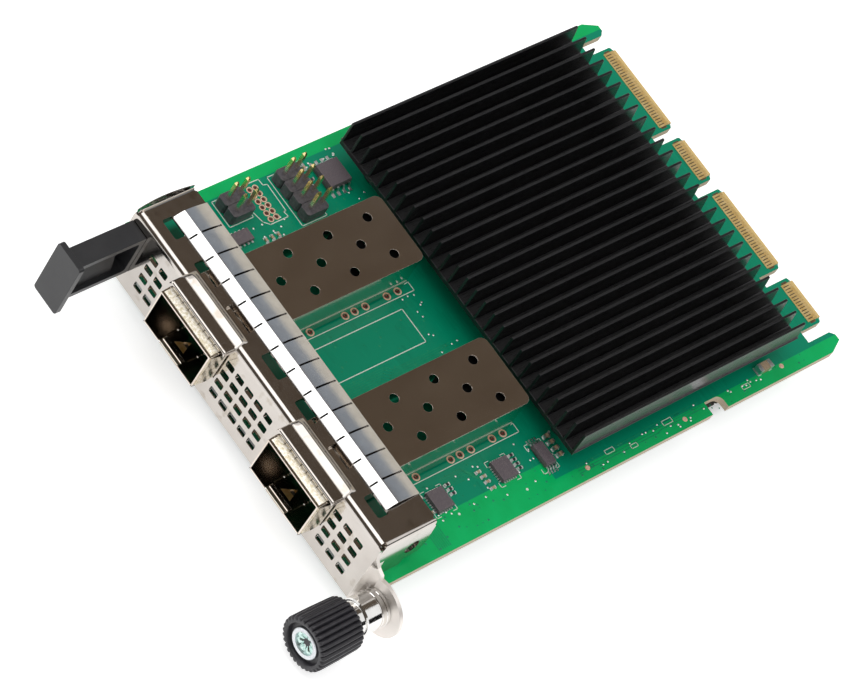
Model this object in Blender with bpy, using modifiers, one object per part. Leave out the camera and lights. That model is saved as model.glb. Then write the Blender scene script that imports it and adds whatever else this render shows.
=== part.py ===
"""Small two-port network adapter card with a folded metal faceplate, a finned heat sink and a card edge.

Metres. X runs along the faceplate towards the thumbscrew, Y from the faceplate's front face back to the card
edge, and Z up from the top surface of the circuit board.
"""

import math

import bmesh
import bpy
from mathutils import Matrix

# Clearances
seat_gap = 0.0001
slide_gap = 0.0003
plating_gap = 0.00003

# Circuit board
board_width = 0.0760
board_thickness = 0.00157
card_depth = 0.1150
board_setback = 0.0004
corner_relief_gap = 0.0006
corner_relief_depth = 0.0030
horn_width = 0.0036
horn_chamfer = 0.0030
tongue_length = 0.0062
tongue_setback = 0.0003
left_channel = 0.00265
right_channel = 0.0024
key_slot_centres = (-0.0117, 0.0003, 0.0208)
key_slot_width = 0.0022
tongue_chamfer = 0.0009
lead_in_length = 0.0007
lead_in_depth = 0.0004
edge_notch_y = 0.0812
edge_notch_length = 0.0039
edge_notch_depth = 0.00265
service_hole_columns = 6
service_hole_rows = 2
service_hole_pitch = 0.00127
service_hole_radius = 0.0004
service_hole_inset = 0.00355
service_hole_setback = 0.01428

# Card edge contacts
contact_margin = 0.0007
contact_pitch = 0.0006
contact_width = 0.00042
contact_length = 0.0021
contact_thickness = 0.00006
contact_bridge = 0.0003

# Folded faceplate
sheet = 0.0007
face_margin = 0.0028
face_bottom_z = -0.0055
flange_top_z = 0.0104
flange_depth = 0.0124
bend_radius = 0.0012
vent_width = 0.0020
vent_height = 0.0015
vent_top_z = 0.00595
vent_rows = 4
vent_row_pitch = 0.0027
vent_pitch = 0.0027
left_vent_inset = 0.0078
left_vent_columns = 2
middle_vent_start = 0.0012
middle_vent_end = 0.0030
right_vent_inset = 0.0097
right_vent_pitch = 0.0029
right_vent_columns = 3
window_front_y = 0.0037
window_depth = 0.0050
left_windows = ((0.0034, 0.0076), (0.0126, 0.0180), (0.0218, 0.0276))
middle_window = (-0.0032, 0.0019)
right_windows = ((0.0048, 0.0092), (0.0146, 0.0194), (0.0240, 0.0288))
wall_bottom_z = 0.0017
wall_lip = 0.0004
wall_lip_bottom_z = 0.0038
wall_lip_top_z = 0.0080
side_hole_y = 0.0092
side_hole_z = 0.0047
side_hole_radius = 0.0015
foot_front_y = 0.0038
foot_depth = 0.0046
foot_reach = 0.0060

# Offset ear that carries the thumbscrew
ear_offset = 0.0022
ear_radius = 0.0057
ear_sweep = (228, 472)
ear_neck_rise = 0.0022
ear_shoulder_drop = 0.0024
ear_shoulder_run = 0.0002
ear_reach = 0.0043
screw_z = -0.0033
joggle_run = 0.0022

# Transceiver cages
left_port_margin = 0.017225
right_port_margin = 0.014025
cage_width = 0.0140
cage_bottom_z = 0.0006
cage_top_z = 0.0096
cage_front_y = -0.0049
cage_length = 0.0483
cage_sheet = 0.0003
cage_corner = 0.0014
cage_vent_radius = 0.0009
cage_vent_pitch = 0.0090
cage_vent_side = 0.00395
cage_vent_rear = 0.0049
latch_half_width = 0.0028
latch_length = 0.0059
latch_hole = 0.0026
latch_hole_setback = 0.0012
leg_width = 0.0006
leg_setbacks = (0.0217, 0.01375, 0.0116, 0.0091, 0.00415, 0.00165)
leg_hole_radius = 0.00055
leg_length = 0.0019

# Hoods over the ports
hood_rise = 0.0006
hood_overhang = 0.0026
hood_rear_y = 0.0034
hood_margin = 0.00045
hood_lip = 0.0002
hood_step_y = -0.0001
hood_crest_front_y = 0.0003
hood_crest_rear_y = 0.0022

# Spring collars round the cage mouths
collar_sheet = 0.00015
collar_front_y = -0.0037
collar_rear_y = -0.0004
finger_pitch = 0.0016
finger_slit = 0.0004

# Host connectors inside the cages
connector_width = 0.0108
connector_length = 0.0095
connector_rear_gap = 0.0006
connector_height = 0.0072
connector_slot_height = 0.0016
connector_slot_depth = 0.0048
connector_slot_side = 0.0012

# Spring strips on the flange and the left wall
strip_inset = 0.0038
strip_pitch = 0.0047
strip_end_gap = 0.0054
strip_front_y = 0.0058
strip_depth = 0.0066
strip_sheet = 0.00015
strip_rise = 0.0008
strip_slit = 0.0003
strip_front_slit = 0.0012
strip_rear_slit = 0.0040
arch_steps = 8
side_strip_fingers = 4
side_strip_front_y = 0.0006
side_strip_bottom_z = 0.0030
side_strip_height = 0.0070
side_strip_bulge = 0.0007
side_strip_slit_front = 0.0019
side_strip_slit_rear = 0.0012

# Controller package and heat sink
package_size = 0.0250
package_y = 0.0740
substrate_thickness = 0.0010
lid_inset = 0.0012
lid_thickness = 0.0017
ball_gap = 0.0002
pad_thickness = 0.0005
sink_margin = 0.0041
fin_pitch = 0.0026
fin_thickness = 0.00045
fin_top_z = 0.0109
base_top_z = 0.0058
base_thickness = 0.0010
sink_cage_gap = 0.0036
sink_rear_y = 0.1012
sink_rear_slope = 0.0016
sink_centre_x = 0.0001
pedestal_margin = 0.0012
post_radius = 0.0026
post_inset = 0.0063
post_front_inset = 0.0060
post_rear_inset = 0.0057
screw_radius = 0.0011
screw_hole_gap = 0.0002
screw_head_radius = 0.0021
screw_head_height = 0.0012
screw_grip = 0.0030

# Pin headers
header_pitch = 0.00254
header_body_height = 0.0025
header_pin_size = 0.00064
header_pin_top = 0.0075
header_inset = 0.0043
large_header_setback = 0.0081
small_header_setback = 0.0209

# Small parts on the board: the middle's distance in from the left or right edge and behind the cages' rear,
# then the width, depth and height
lead_width = 0.0004
lead_thickness = 0.0003
memory_chip_spot = (0.0073, 0.0014)
memory_chip_size = (0.0050, 0.0050, 0.0016)
memory_lead_reach = 0.0035
memory_lead_pitch = 0.00127
memory_leads = 4
power_switch_spot = (0.00735, 0.00215)
power_switch_size = (0.0044, 0.0024, 0.0012)
power_lead_reach = 0.0038
power_lead_pitch = 0.00085
power_leads = 3
regulator_spots = ((0.00825, -0.0063), (0.00855, -0.0209))
regulator_size = (0.0040, 0.0036, 0.0009)
clock_chip_spot = (0.0110, -0.02195)
clock_chip_size = (0.0024, 0.0038, 0.0009)
translator_spots = ((0.0161, 0.0017), (0.0188, 0.0015))
translator_size = (0.0018, 0.0014, 0.0008)
bulk_capacitor_inset = 0.0032
bulk_capacitor_setback = 0.0186
bulk_capacitor_size = (0.0016, 0.0032, 0.0014)
capacitor_count = 4
capacitor_pitch = 0.0013
capacitor_spot = (0.0101, 0.0053)
capacitor_size = (0.0007, 0.0013, 0.0007)

# Insulating film under the board
film_thickness = 0.00025
film_margin = 0.0020
film_lead = 0.0022
film_rear_y = 0.1040
film_hole_gap = 0.0012

# Pull tab
tab_half_width = 0.0020
tab_inset = 0.0025
tab_top_z = 0.0083
tab_bottom_z = -0.0020
tab_plate_front_y = -0.0156
tab_plate_thickness = 0.0014
tab_plate_width = 0.0062
tab_plate_top_z = 0.0095
tab_plate_bottom_z = -0.0038
tab_wall = 0.0011
tab_web = 0.0012
tab_tenon_width = 0.0022
tab_tenon_height = 0.0060
tab_foot_thickness = 0.0010

# Thumbscrew
knob_radius = 0.0051
knob_rear_radius = 0.00475
knob_front_y = -0.0140
knob_length = 0.0093
knob_chamfer = 0.0007
knob_ridges = 30
knob_groove = 0.00035
sleeve_radius = 0.00345
sleeve_step_radius = 0.0030
sleeve_step_length = 0.0036
sleeve_wall = 0.0008
sleeve_length = 0.0084
running_gap = 0.00015
screw_travel = 0.0020
spring_room = 0.0010
insert_radius = 0.0029
insert_depth = 0.0028
shank_radius = 0.0015
shank_neck_radius = 0.0018
recess_length = 0.0040
recess_width = 0.0009
recess_depth = 0.0016
spring_wire = 0.0005
spring_turns = 6

# Values that follow
sheet_back_y = sheet
board_front_y = sheet_back_y + board_setback
half_board = board_width / 2
face_half_width = half_board - face_margin
tongue_left_x = horn_width + left_channel - half_board
tongue_right_x = half_board - horn_width - right_channel
fin_count = int((board_width - 2 * sink_margin) / fin_pitch) + 1
strip_fingers = int((2 * face_half_width - strip_inset - strip_end_gap) / strip_pitch)
tongue_tip_y = card_depth - tongue_setback
slot_floor_y = card_depth - tongue_length
port_xs = (left_port_margin + cage_width / 2 - half_board, half_board - right_port_margin - cage_width / 2)
cage_rear_y = cage_front_y + cage_length
leg_positions = [cage_rear_y - setback for setback in leg_setbacks]
connector_rear_y = cage_rear_y - cage_sheet - connector_rear_gap
connector_front_y = connector_rear_y - connector_length
sink_front_y = cage_rear_y + sink_cage_gap
passage_half = cage_width / 2 + seat_gap + collar_sheet + seat_gap
passage_top_z = cage_top_z + seat_gap + collar_sheet + seat_gap
passage_bottom_z = cage_bottom_z - seat_gap - collar_sheet - seat_gap
hood_half = passage_half + hood_margin
package_top_z = ball_gap + substrate_thickness + lid_thickness
base_bottom_z = base_top_z - base_thickness
post_x = (fin_count - 1) * fin_pitch / 2 - post_inset
post_ys = (sink_front_y + post_front_inset, sink_rear_y - post_rear_inset)
post_spots = [(sink_centre_x + side * post_x, y) for y in post_ys for side in (-1, 1)]
tab_x = tab_inset - face_half_width
screw_x = face_half_width + ear_reach
strip_left_x = strip_inset - face_half_width
strip_right_x = strip_left_x + strip_fingers * strip_pitch
foot_rear_y = foot_front_y + foot_depth
foot_centre_x = face_half_width - sheet - foot_reach / 2
foot_centre_y = foot_front_y + foot_depth / 2
foot_spots = [(-foot_centre_x, foot_centre_y), (foot_centre_x, foot_centre_y)]
foot_hole_radius = screw_radius + screw_hole_gap
knob_rear_y = knob_front_y + knob_length

for old in list(bpy.data.objects):
    bpy.data.objects.remove(old)


def new_collection(name):
    group = bpy.data.collections.new(name)
    bpy.context.scene.collection.children.link(group)
    return group


parts = new_collection("network_adapter_card")
cutters = new_collection("cutters")


def finish_of(name, colour, roughness, metallic):
    """A plain surface of one colour."""
    material = bpy.data.materials.new(name)
    material.use_nodes = True
    shader = material.node_tree.nodes["Principled BSDF"]
    shader.inputs["Base Color"].default_value = (*colour, 1.0)
    shader.inputs["Roughness"].default_value = roughness
    shader.inputs["Metallic"].default_value = metallic
    return material


def part(name, shape, colour, roughness=0.5, metallic=0.0):
    """A node of the card from a bmesh, with its own material."""
    mesh = bpy.data.meshes.new(name)
    shape.to_mesh(mesh)
    shape.free()
    made = bpy.data.objects.new(name, mesh)
    parts.objects.link(made)
    mesh.materials.append(finish_of(name, colour, roughness, metallic))
    return made


def tool(name, shape):
    """A hidden body that cuts or joins a part."""
    mesh = bpy.data.meshes.new(name)
    shape.to_mesh(mesh)
    shape.free()
    made = bpy.data.objects.new(name, mesh)
    cutters.objects.link(made)
    made.hide_render = True
    made.display_type = "WIRE"
    return made


def combine(body, other, operation, solver="EXACT"):
    step = body.modifiers.new(other.name, "BOOLEAN")
    step.operation = operation
    step.object = other
    step.solver = solver


def cut(body, name, shape, solver="EXACT"):
    combine(body, tool(name, shape), "DIFFERENCE", solver)


def join(body, name, shape, solver="EXACT"):
    combine(body, tool(name, shape), "UNION", solver)


def box(x0, x1, y0, y1, z0, z1):
    shape = bmesh.new()
    size = Matrix.Diagonal((x1 - x0, y1 - y0, z1 - z0, 1.0))
    middle = Matrix.Translation(((x0 + x1) / 2, (y0 + y1) / 2, (z0 + z1) / 2))
    bmesh.ops.create_cube(shape, size=1.0, matrix=middle @ size)
    return shape


def rod(radius, low, high, across="Z", at=(0.0, 0.0), sides=24):
    """A cylinder between two places on one axis. at holds its centre on the other two axes."""
    shape = bmesh.new()
    bmesh.ops.create_cone(shape, cap_ends=True, segments=sides, radius1=radius, radius2=radius,
                          depth=high - low, matrix=Matrix.Translation((0.0, 0.0, (low + high) / 2)))
    if across == "Z":
        shape.transform(Matrix.Translation((at[0], at[1], 0.0)))
    elif across == "Y":
        shape.transform(Matrix.Translation((at[0], 0.0, at[1])) @ Matrix.Rotation(-math.pi / 2, 4, "X"))
    else:
        shape.transform(Matrix.Translation((0.0, at[0], at[1])) @ Matrix.Rotation(math.pi / 2, 4, "Y"))
    return shape


def merged(shapes):
    """One bmesh that holds several separate bodies."""
    whole = bmesh.new()
    carrier = bpy.data.meshes.new("carrier")
    for shape in shapes:
        shape.to_mesh(carrier)
        shape.free()
        whole.from_mesh(carrier)
    bpy.data.meshes.remove(carrier)
    return whole


def plate(outlines, low, high, across="Z"):
    """A flat outline, with any further outlines as holes in it, filled as a curve and made thick.

    The curve is drawn in millimetres, because small steps get lost when a curve is filled in metres.
    """
    curve = bpy.data.curves.new("outline", "CURVE")
    curve.dimensions = "2D"
    curve.fill_mode = "BOTH"
    curve.extrude = 500 * (high - low)
    for points in outlines:
        spline = curve.splines.new("POLY")
        spline.points.add(len(points) - 1)
        for spot, (u, v) in zip(spline.points, points):
            spot.co = (1000 * u, 1000 * v, 0.0, 1.0)
        spline.use_cyclic_u = True
    holder = bpy.data.objects.new("outline", curve)
    cutters.objects.link(holder)
    bpy.context.view_layer.update()
    mesh = bpy.data.meshes.new_from_object(holder.evaluated_get(bpy.context.evaluated_depsgraph_get()))
    bpy.data.objects.remove(holder)
    shape = bmesh.new()
    shape.from_mesh(mesh)
    bpy.data.meshes.remove(mesh)
    bmesh.ops.remove_doubles(shape, verts=shape.verts, dist=0.0005)
    bmesh.ops.recalc_face_normals(shape, faces=shape.faces)
    shape.transform(Matrix.Translation((0.0, 0.0, (low + high) / 2)) @ Matrix.Scale(0.001, 4))
    if across == "Y":
        shape.transform(Matrix(((1, 0, 0, 0), (0, 0, 1, 0), (0, 1, 0, 0), (0, 0, 0, 1))))
        bmesh.ops.reverse_faces(shape, faces=shape.faces)
    elif across == "X":
        shape.transform(Matrix(((0, 0, 1, 0), (1, 0, 0, 0), (0, 1, 0, 0), (0, 0, 0, 1))))
    return shape


def circle(centre, radius, sides=12):
    step = 2 * math.pi / sides
    return [(centre[0] + radius * math.cos(i * step), centre[1] + radius * math.sin(i * step))
            for i in range(sides)]


def arc(centre, radius, start, end, steps=5):
    """Points along an arc, with its angles in degrees."""
    found = []
    for i in range(steps + 1):
        angle = math.radians(start + (end - start) * i / steps)
        found.append((centre[0] + radius * math.cos(angle), centre[1] + radius * math.sin(angle)))
    return found


def rectangle(x0, x1, y0, y1):
    return [(x0, y0), (x1, y0), (x1, y1), (x0, y1)]


def turned(name, profile, colour, roughness, metallic, steps=32):
    """A part turned about the thumbscrew's axis. Its profile is (radius, place along Y), front end first."""
    mesh = bpy.data.meshes.new(name)
    points = [(radius, 0.0, -along) for radius, along in profile]
    closed = profile[0][0] > 0.0
    edges = [(i, i + 1) for i in range(len(points) - 1)]
    if closed:
        edges.append((len(points) - 1, 0))
    mesh.from_pydata(points, edges, [])
    made = bpy.data.objects.new(name, mesh)
    parts.objects.link(made)
    made.location = (screw_x, 0.0, screw_z)
    made.rotation_euler = (math.pi / 2, 0.0, 0.0)
    mesh.materials.append(finish_of(name, colour, roughness, metallic))
    screw = made.modifiers.new("turn", "SCREW")
    screw.steps = steps
    screw.render_steps = steps
    screw.use_merge_vertices = True
    screw.merge_threshold = 0.000001
    screw.use_smooth_shade = False
    return made


# Circuit board: glass laminate with horns beside the card edge, key slots, a side notch and drilled holes


def tongue_sections():
    """The left and right ends of each section of the card edge."""
    lefts = [tongue_left_x] + [centre + key_slot_width / 2 for centre in key_slot_centres]
    rights = [centre - key_slot_width / 2 for centre in key_slot_centres] + [tongue_right_x]
    return list(zip(lefts, rights))


def board_outline():
    relief_x = face_half_width - corner_relief_gap
    relief_y = board_front_y + corner_relief_depth
    notch_x = half_board - edge_notch_depth
    notch_end = edge_notch_y + edge_notch_length
    corner = edge_notch_depth / 2
    horn_inner = half_board - horn_width
    chamfer_y = card_depth - tongue_chamfer
    points = [(-relief_x, board_front_y), (relief_x, board_front_y), (relief_x, relief_y),
              (half_board, relief_y), (half_board, edge_notch_y), (notch_x, edge_notch_y)]
    points += reversed(arc((notch_x + corner, notch_end - corner), corner, 90, 180))
    points += [(half_board, notch_end), (half_board, card_depth - horn_chamfer)]
    points += [(half_board - horn_chamfer / 2, card_depth), (horn_inner + tongue_chamfer, card_depth),
               (horn_inner, chamfer_y), (horn_inner, slot_floor_y)]
    for left, right in reversed(tongue_sections()):
        points += [(right, slot_floor_y), (right, tongue_tip_y - tongue_chamfer),
                   (right - tongue_chamfer, tongue_tip_y), (left + tongue_chamfer, tongue_tip_y),
                   (left, tongue_tip_y - tongue_chamfer), (left, slot_floor_y)]
    points += [(-horn_inner, slot_floor_y), (-horn_inner, chamfer_y),
               (-horn_inner - tongue_chamfer, card_depth), (horn_chamfer / 2 - half_board, card_depth),
               (-half_board, card_depth - horn_chamfer), (-half_board, relief_y), (-relief_x, relief_y)]
    return points


def leg_xs():
    """The middle of each cage side wall."""
    offset = (cage_width - cage_sheet) / 2
    return [x + side * offset for x in port_xs for side in (-1, 1)]


def board_holes():
    holes = [circle((x, y), leg_hole_radius, 8) for x in leg_xs() for y in leg_positions]
    holes += [circle(spot, screw_radius + screw_hole_gap) for spot in post_spots]
    holes += [circle(spot, foot_hole_radius) for spot in foot_spots]
    first_x = service_hole_inset - half_board
    first_y = cage_rear_y - service_hole_setback
    for column in range(service_hole_columns):
        for row in range(service_hole_rows):
            spot = (first_x + column * service_hole_pitch, first_y + row * service_hole_pitch)
            holes.append(circle(spot, service_hole_radius, 8))
    return holes


board = part("circuit_board", plate([board_outline()] + board_holes(), -board_thickness, 0.0),
             (0.01, 0.20, 0.09), 0.35)


def lead_in(z, side):
    """A wedge that bevels one face of the card edge. side is 1 for the top face and -1 for the underside."""
    inner = tongue_tip_y - lead_in_length
    outer = tongue_tip_y + lead_in_length
    slope = [(inner, z), (outer, z - 2 * side * lead_in_depth), (outer, z + side * lead_in_depth),
             (inner, z + side * lead_in_depth)]
    margin = key_slot_width / 2
    return plate([slope], tongue_left_x - margin, tongue_right_x + margin, "X")


cut(board, "lead_in_top", lead_in(0.0, 1), "MANIFOLD")
cut(board, "lead_in_bottom", lead_in(-board_thickness, -1), "MANIFOLD")


# Card edge contacts: a comb of plated copper for each section, on both faces


def comb(count, middle):
    """The outline of a bank of contacts, joined at their inner ends."""
    root = tongue_tip_y - lead_in_length - contact_length
    tip = root + contact_length - plating_gap
    left = middle - (count - 1) * contact_pitch / 2
    points = [(left - contact_width / 2, root - contact_bridge)]
    points.append((left + (count - 1) * contact_pitch + contact_width / 2, root - contact_bridge))
    for i in reversed(range(count)):
        centre = left + i * contact_pitch
        points.append((centre + contact_width / 2, root if i < count - 1 else tip))
        if i < count - 1:
            points.append((centre + contact_width / 2, tip))
        points.append((centre - contact_width / 2, tip))
        if i > 0:
            points.append((centre - contact_width / 2, root))
    return points


gold = (0.83, 0.60, 0.22)
for bank, (left, right) in enumerate(tongue_sections(), 1):
    count = int((right - left - 2 * contact_margin - contact_width) / contact_pitch) + 1
    outline = comb(count, (left + right) / 2)
    part(f"edge_contacts_top_{bank}", plate([outline], plating_gap, plating_gap + contact_thickness),
         gold, 0.25, 1.0)
    lower = -board_thickness - plating_gap
    part(f"edge_contacts_bottom_{bank}", plate([outline], lower - contact_thickness, lower), gold, 0.25, 1.0)


# Front bracket: one folded sheet with a perforated face, a top flange, two side walls and an offset ear

sheet_steel = (0.62, 0.58, 0.52)


def bracket_section():
    inner = bend_radius - sheet
    bend = (bend_radius, flange_top_z - bend_radius)
    points = [(0.0, face_bottom_z)]
    points += reversed(arc(bend, bend_radius, 90, 180))
    points += [(flange_depth, flange_top_z), (flange_depth, flange_top_z - sheet)]
    points += arc(bend, inner, 90, 180)
    points.append((sheet, face_bottom_z))
    return points


def wall_outline():
    """A side wall, seen along X, with the foot's neck at its lower front and a short lip at its rear."""
    lip_y = flange_depth + wall_lip
    return [(sheet / 2, wall_bottom_z), (foot_front_y, wall_bottom_z), (foot_front_y, seat_gap),
            (foot_rear_y, seat_gap), (foot_rear_y, wall_bottom_z),
            (flange_depth - 2 * wall_lip, wall_bottom_z), (lip_y, wall_lip_bottom_z),
            (lip_y, wall_lip_top_z), (flange_depth, flange_top_z - sheet / 2),
            (bend_radius, flange_top_z - sheet / 2), (sheet / 2, flange_top_z - bend_radius)]


def vents():
    found = []
    middle_first = port_xs[0] + passage_half + middle_vent_start
    middle_last = port_xs[1] - passage_half - middle_vent_end
    middle_columns = int((middle_last - middle_first) / vent_pitch) + 1
    banks = ((left_vent_inset - face_half_width, left_vent_columns, vent_pitch),
             (middle_first, middle_columns, vent_pitch),
             (face_half_width - right_vent_inset, right_vent_columns, right_vent_pitch))
    for first_x, columns, pitch in banks:
        for column in range(columns):
            for row in range(vent_rows):
                x = first_x + column * pitch
                z = vent_top_z - row * vent_row_pitch
                found.append(box(x - vent_width / 2, x + vent_width / 2, -sheet, 2 * sheet,
                                 z - vent_height / 2, z + vent_height / 2))
    return found


def hood_section():
    """The hood's outside, seen along X: up from the flange and down over the cage mouth."""
    crest = flange_top_z + hood_rise
    ledge = passage_top_z + sheet / 2
    return [(-hood_overhang, passage_top_z - sheet), (-hood_overhang, ledge - hood_lip),
            (-hood_overhang + hood_lip, ledge), (hood_step_y, ledge), (hood_crest_front_y, crest),
            (hood_crest_rear_y, crest), (hood_rear_y, flange_top_z - sheet / 2),
            (sheet, flange_top_z - sheet), (sheet / 2, passage_top_z - sheet)]


def joggle_path(offset):
    """The offset ear's sheet, seen from above, at a distance behind its front face."""
    crease = face_half_width
    return [(crease - sheet, offset), (crease, offset), (crease + joggle_run, ear_offset + offset),
            (screw_x + 2 * ear_radius, ear_offset + offset)]


def ear_outline():
    """The ear, seen from the front: a neck beside the crease that runs into a disc round the thumbscrew."""
    top = flange_top_z - bend_radius
    neck_z = screw_z + ear_radius
    disc = (screw_x, screw_z)
    crease_x = face_half_width + joggle_run
    points = [(face_half_width - sheet / 2, face_bottom_z), (face_half_width, face_bottom_z)]
    points += arc(disc, ear_radius, *ear_sweep, 20)
    points += [(crease_x, neck_z), (crease_x - sheet, neck_z + ear_neck_rise),
               (face_half_width + ear_shoulder_run, top - ear_shoulder_drop),
               (face_half_width - sheet / 2, top)]
    return points


bracket = part("front_bracket", plate([bracket_section()], -face_half_width, face_half_width, "X"),
               sheet_steel, 0.35, 1.0)
for side, name in ((-1, "left_wall"), (1, "right_wall")):
    outer = side * face_half_width
    inner = side * (face_half_width - sheet)
    holes = [circle((side_hole_y, side_hole_z), side_hole_radius, 16)]
    wall = plate([wall_outline()] + holes, min(outer, inner), max(outer, inner), "X")
    join(bracket, name, wall, "MANIFOLD")
    toe = side * (face_half_width - foot_reach)
    heel = side * (face_half_width - sheet / 2)
    foot = box(min(toe, heel), max(toe, heel), foot_front_y, foot_rear_y, seat_gap, seat_gap + sheet)
    join(bracket, name + "_foot", foot, "MANIFOLD")
ear = plate([joggle_path(0.0) + joggle_path(sheet)[::-1]], face_bottom_z - 2 * ear_radius,
            flange_top_z + sheet)
ear_tool = tool("ear_sheet", ear)
ear_shape = plate([ear_outline()], -sheet, ear_offset + 2 * sheet, "Y")
combine(ear_tool, tool("ear_shape", ear_shape), "INTERSECT", "MANIFOLD")
combine(bracket, ear_tool, "UNION", "MANIFOLD")
for number, x in enumerate(port_xs, 1):
    join(bracket, f"hood_{number}", plate([hood_section()], x - hood_half, x + hood_half, "X"), "MANIFOLD")
passages = [box(x - passage_half, x + passage_half, -2 * hood_overhang, cage_rear_y,
                passage_bottom_z, passage_top_z) for x in port_xs]
cut(bracket, "passages", merged(passages), "MANIFOLD")
cut(bracket, "vents", merged(vents()), "MANIFOLD")


def window(left, right):
    return box(left, right, window_front_y, window_front_y + window_depth, flange_top_z - 2 * sheet,
               flange_top_z + sheet)


left_side = [window(near - face_half_width, far - face_half_width) for near, far in left_windows]
cut(bracket, "left_windows", merged(left_side), "MANIFOLD")
cut(bracket, "middle_window", window(*middle_window), "MANIFOLD")
right_side = [window(face_half_width - far, face_half_width - near) for near, far in right_windows]
cut(bracket, "right_windows", merged(right_side), "MANIFOLD")
ear_hole_radius = sleeve_radius - sleeve_wall / 2 + running_gap
ear_hole = rod(ear_hole_radius, 0.0, ear_offset + 2 * sheet, "Y", (screw_x, screw_z))
cut(bracket, "ear_hole", ear_hole, "MANIFOLD")
sleeve_relief = rod(sleeve_radius + slide_gap, -sheet, ear_offset, "Y", (screw_x, screw_z))
cut(bracket, "sleeve_relief", sleeve_relief, "MANIFOLD")
tenon_z = (tab_top_z + tab_bottom_z) / 2
slot_half_width = tab_tenon_width / 2 + seat_gap
slot_half_height = tab_tenon_height / 2 + seat_gap
tab_slot = box(tab_x - slot_half_width, tab_x + slot_half_width, -sheet, 2 * sheet,
               tenon_z - slot_half_height, tenon_z + slot_half_height)
cut(bracket, "tab_slot", tab_slot, "MANIFOLD")
foot_holes = [rod(foot_hole_radius, 0.0, 3 * sheet, "Z", spot, 12) for spot in foot_spots]
cut(bracket, "foot_holes", merged(foot_holes), "MANIFOLD")


# Bracket screws: up through the board into the bracket's feet

def board_screw(name, spot, top_z):
    """A flat-headed screw up through the board to a height."""
    under = -board_thickness - seat_gap
    made = part(name, rod(screw_head_radius, under - screw_head_height, under, "Z", spot, 16),
                (0.6, 0.6, 0.62), 0.3, 1.0)
    join(made, name + "_shank", rod(screw_radius, under - screw_head_height / 2, top_z, "Z", spot, 12))


for name, spot in zip(("bracket_screw_left", "bracket_screw_right"), foot_spots):
    board_screw(name, spot, 2 * sheet + seat_gap)


# Transceiver cages: folded sheet boxes with vents, a latch tongue in the floor and legs through the board


def cage_outline(x, inset, front_y):
    """A cage from above, open or closed at the front, with rounded rear corners."""
    half = cage_width / 2 - inset
    rear = cage_rear_y - inset
    radius = cage_corner - inset
    points = [(x - half, front_y), (x + half, front_y)]
    points += arc((x + half - radius, rear - radius), radius, 0, 90)
    points += arc((x - half + radius, rear - radius), radius, 90, 180)
    return points


def cage_vents(x):
    rear = cage_rear_y - cage_vent_rear
    spots = [(x + side * cage_vent_side, rear - i * cage_vent_pitch) for side in (-1, 1) for i in range(3)]
    spots += [(x, rear - cage_vent_pitch / 2 - i * cage_vent_pitch) for i in range(3)]
    return [rod(cage_vent_radius, cage_top_z - 2 * cage_sheet, cage_top_z + cage_sheet, "Z", spot, 12)
            for spot in spots]


def latch_cuts(x):
    """Two slits and a triangular hole that leave a springing tongue in the floor."""
    low = cage_bottom_z - cage_sheet
    high = cage_bottom_z + 2 * cage_sheet
    slit = cage_sheet / 2
    found = [box(x + side * latch_half_width - slit, x + side * latch_half_width + slit,
                 cage_front_y - cage_sheet, cage_front_y + latch_length, low, high) for side in (-1, 1)]
    tip_y = cage_front_y + latch_length - latch_hole_setback
    base_y = tip_y - latch_hole
    corners = [(x - latch_hole / 2, base_y), (x + latch_hole / 2, base_y), (x, tip_y)]
    found.append(plate([corners], low, high))
    return found


for number, x in enumerate(port_xs, 1):
    cage = part(f"sfp_cage_{number}", plate([cage_outline(x, 0.0, cage_front_y)], cage_bottom_z, cage_top_z),
                (0.36, 0.33, 0.29), 0.35, 1.0)
    cut(cage, f"cage_{number}_inside", plate([cage_outline(x, cage_sheet, cage_front_y - cage_sheet)],
                                            cage_bottom_z + cage_sheet, cage_top_z - cage_sheet))
    half_opening = connector_width / 2 + slide_gap
    opening = box(x - half_opening, x + half_opening, connector_front_y - slide_gap,
                  connector_rear_y + slide_gap, cage_bottom_z - cage_sheet, cage_bottom_z + 2 * cage_sheet)
    cut(cage, f"cage_{number}_floor_opening", opening)
    cut(cage, f"cage_{number}_vents", merged(cage_vents(x)))
    cut(cage, f"cage_{number}_latch", merged(latch_cuts(x)))
    legs = []
    half_leg = leg_width / 2
    for side in (-1, 1):
        wall = x + side * (cage_width - cage_sheet) / 2
        for y in leg_positions:
            legs.append(box(wall - cage_sheet / 2, wall + cage_sheet / 2, y - half_leg, y + half_leg,
                            -leg_length, cage_bottom_z + cage_sheet))
    join(cage, f"cage_{number}_legs", merged(legs))


# Spring collars: thin sleeves with fingers between each cage mouth and the bracket


def slits_along(low, high):
    """Slit centres evenly set between two places, a finger apart."""
    count = int((high - low) / finger_pitch)
    first = (low + high - (count - 1) * finger_pitch) / 2
    return [first + i * finger_pitch for i in range(count)]


for number, x in enumerate(port_xs, 1):
    inner = cage_width / 2 + seat_gap
    outer = inner + collar_sheet
    low, high = cage_bottom_z - seat_gap, cage_top_z + seat_gap
    rings = [rectangle(x - outer, x + outer, low - collar_sheet, high + collar_sheet),
             rectangle(x - inner, x + inner, low, high)]
    collar = part(f"cage_collar_{number}", plate(rings, collar_front_y, collar_rear_y, "Y"),
                  (0.78, 0.74, 0.66), 0.3, 1.0)
    slit_front = collar_front_y + 2 * finger_slit
    slit_rear = collar_rear_y - 2 * finger_slit
    half = finger_slit / 2
    crossing = [box(spot - half, spot + half, slit_front, slit_rear, low - 2 * collar_sheet,
                    high + 2 * collar_sheet) for spot in slits_along(x - inner, x + inner)]
    cut(collar, f"collar_{number}_top_slits", merged(crossing))
    crossing = [box(x - 2 * outer, x + 2 * outer, slit_front, slit_rear, spot - half, spot + half)
                for spot in slits_along(low, high)]
    cut(collar, f"collar_{number}_side_slits", merged(crossing))


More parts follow.
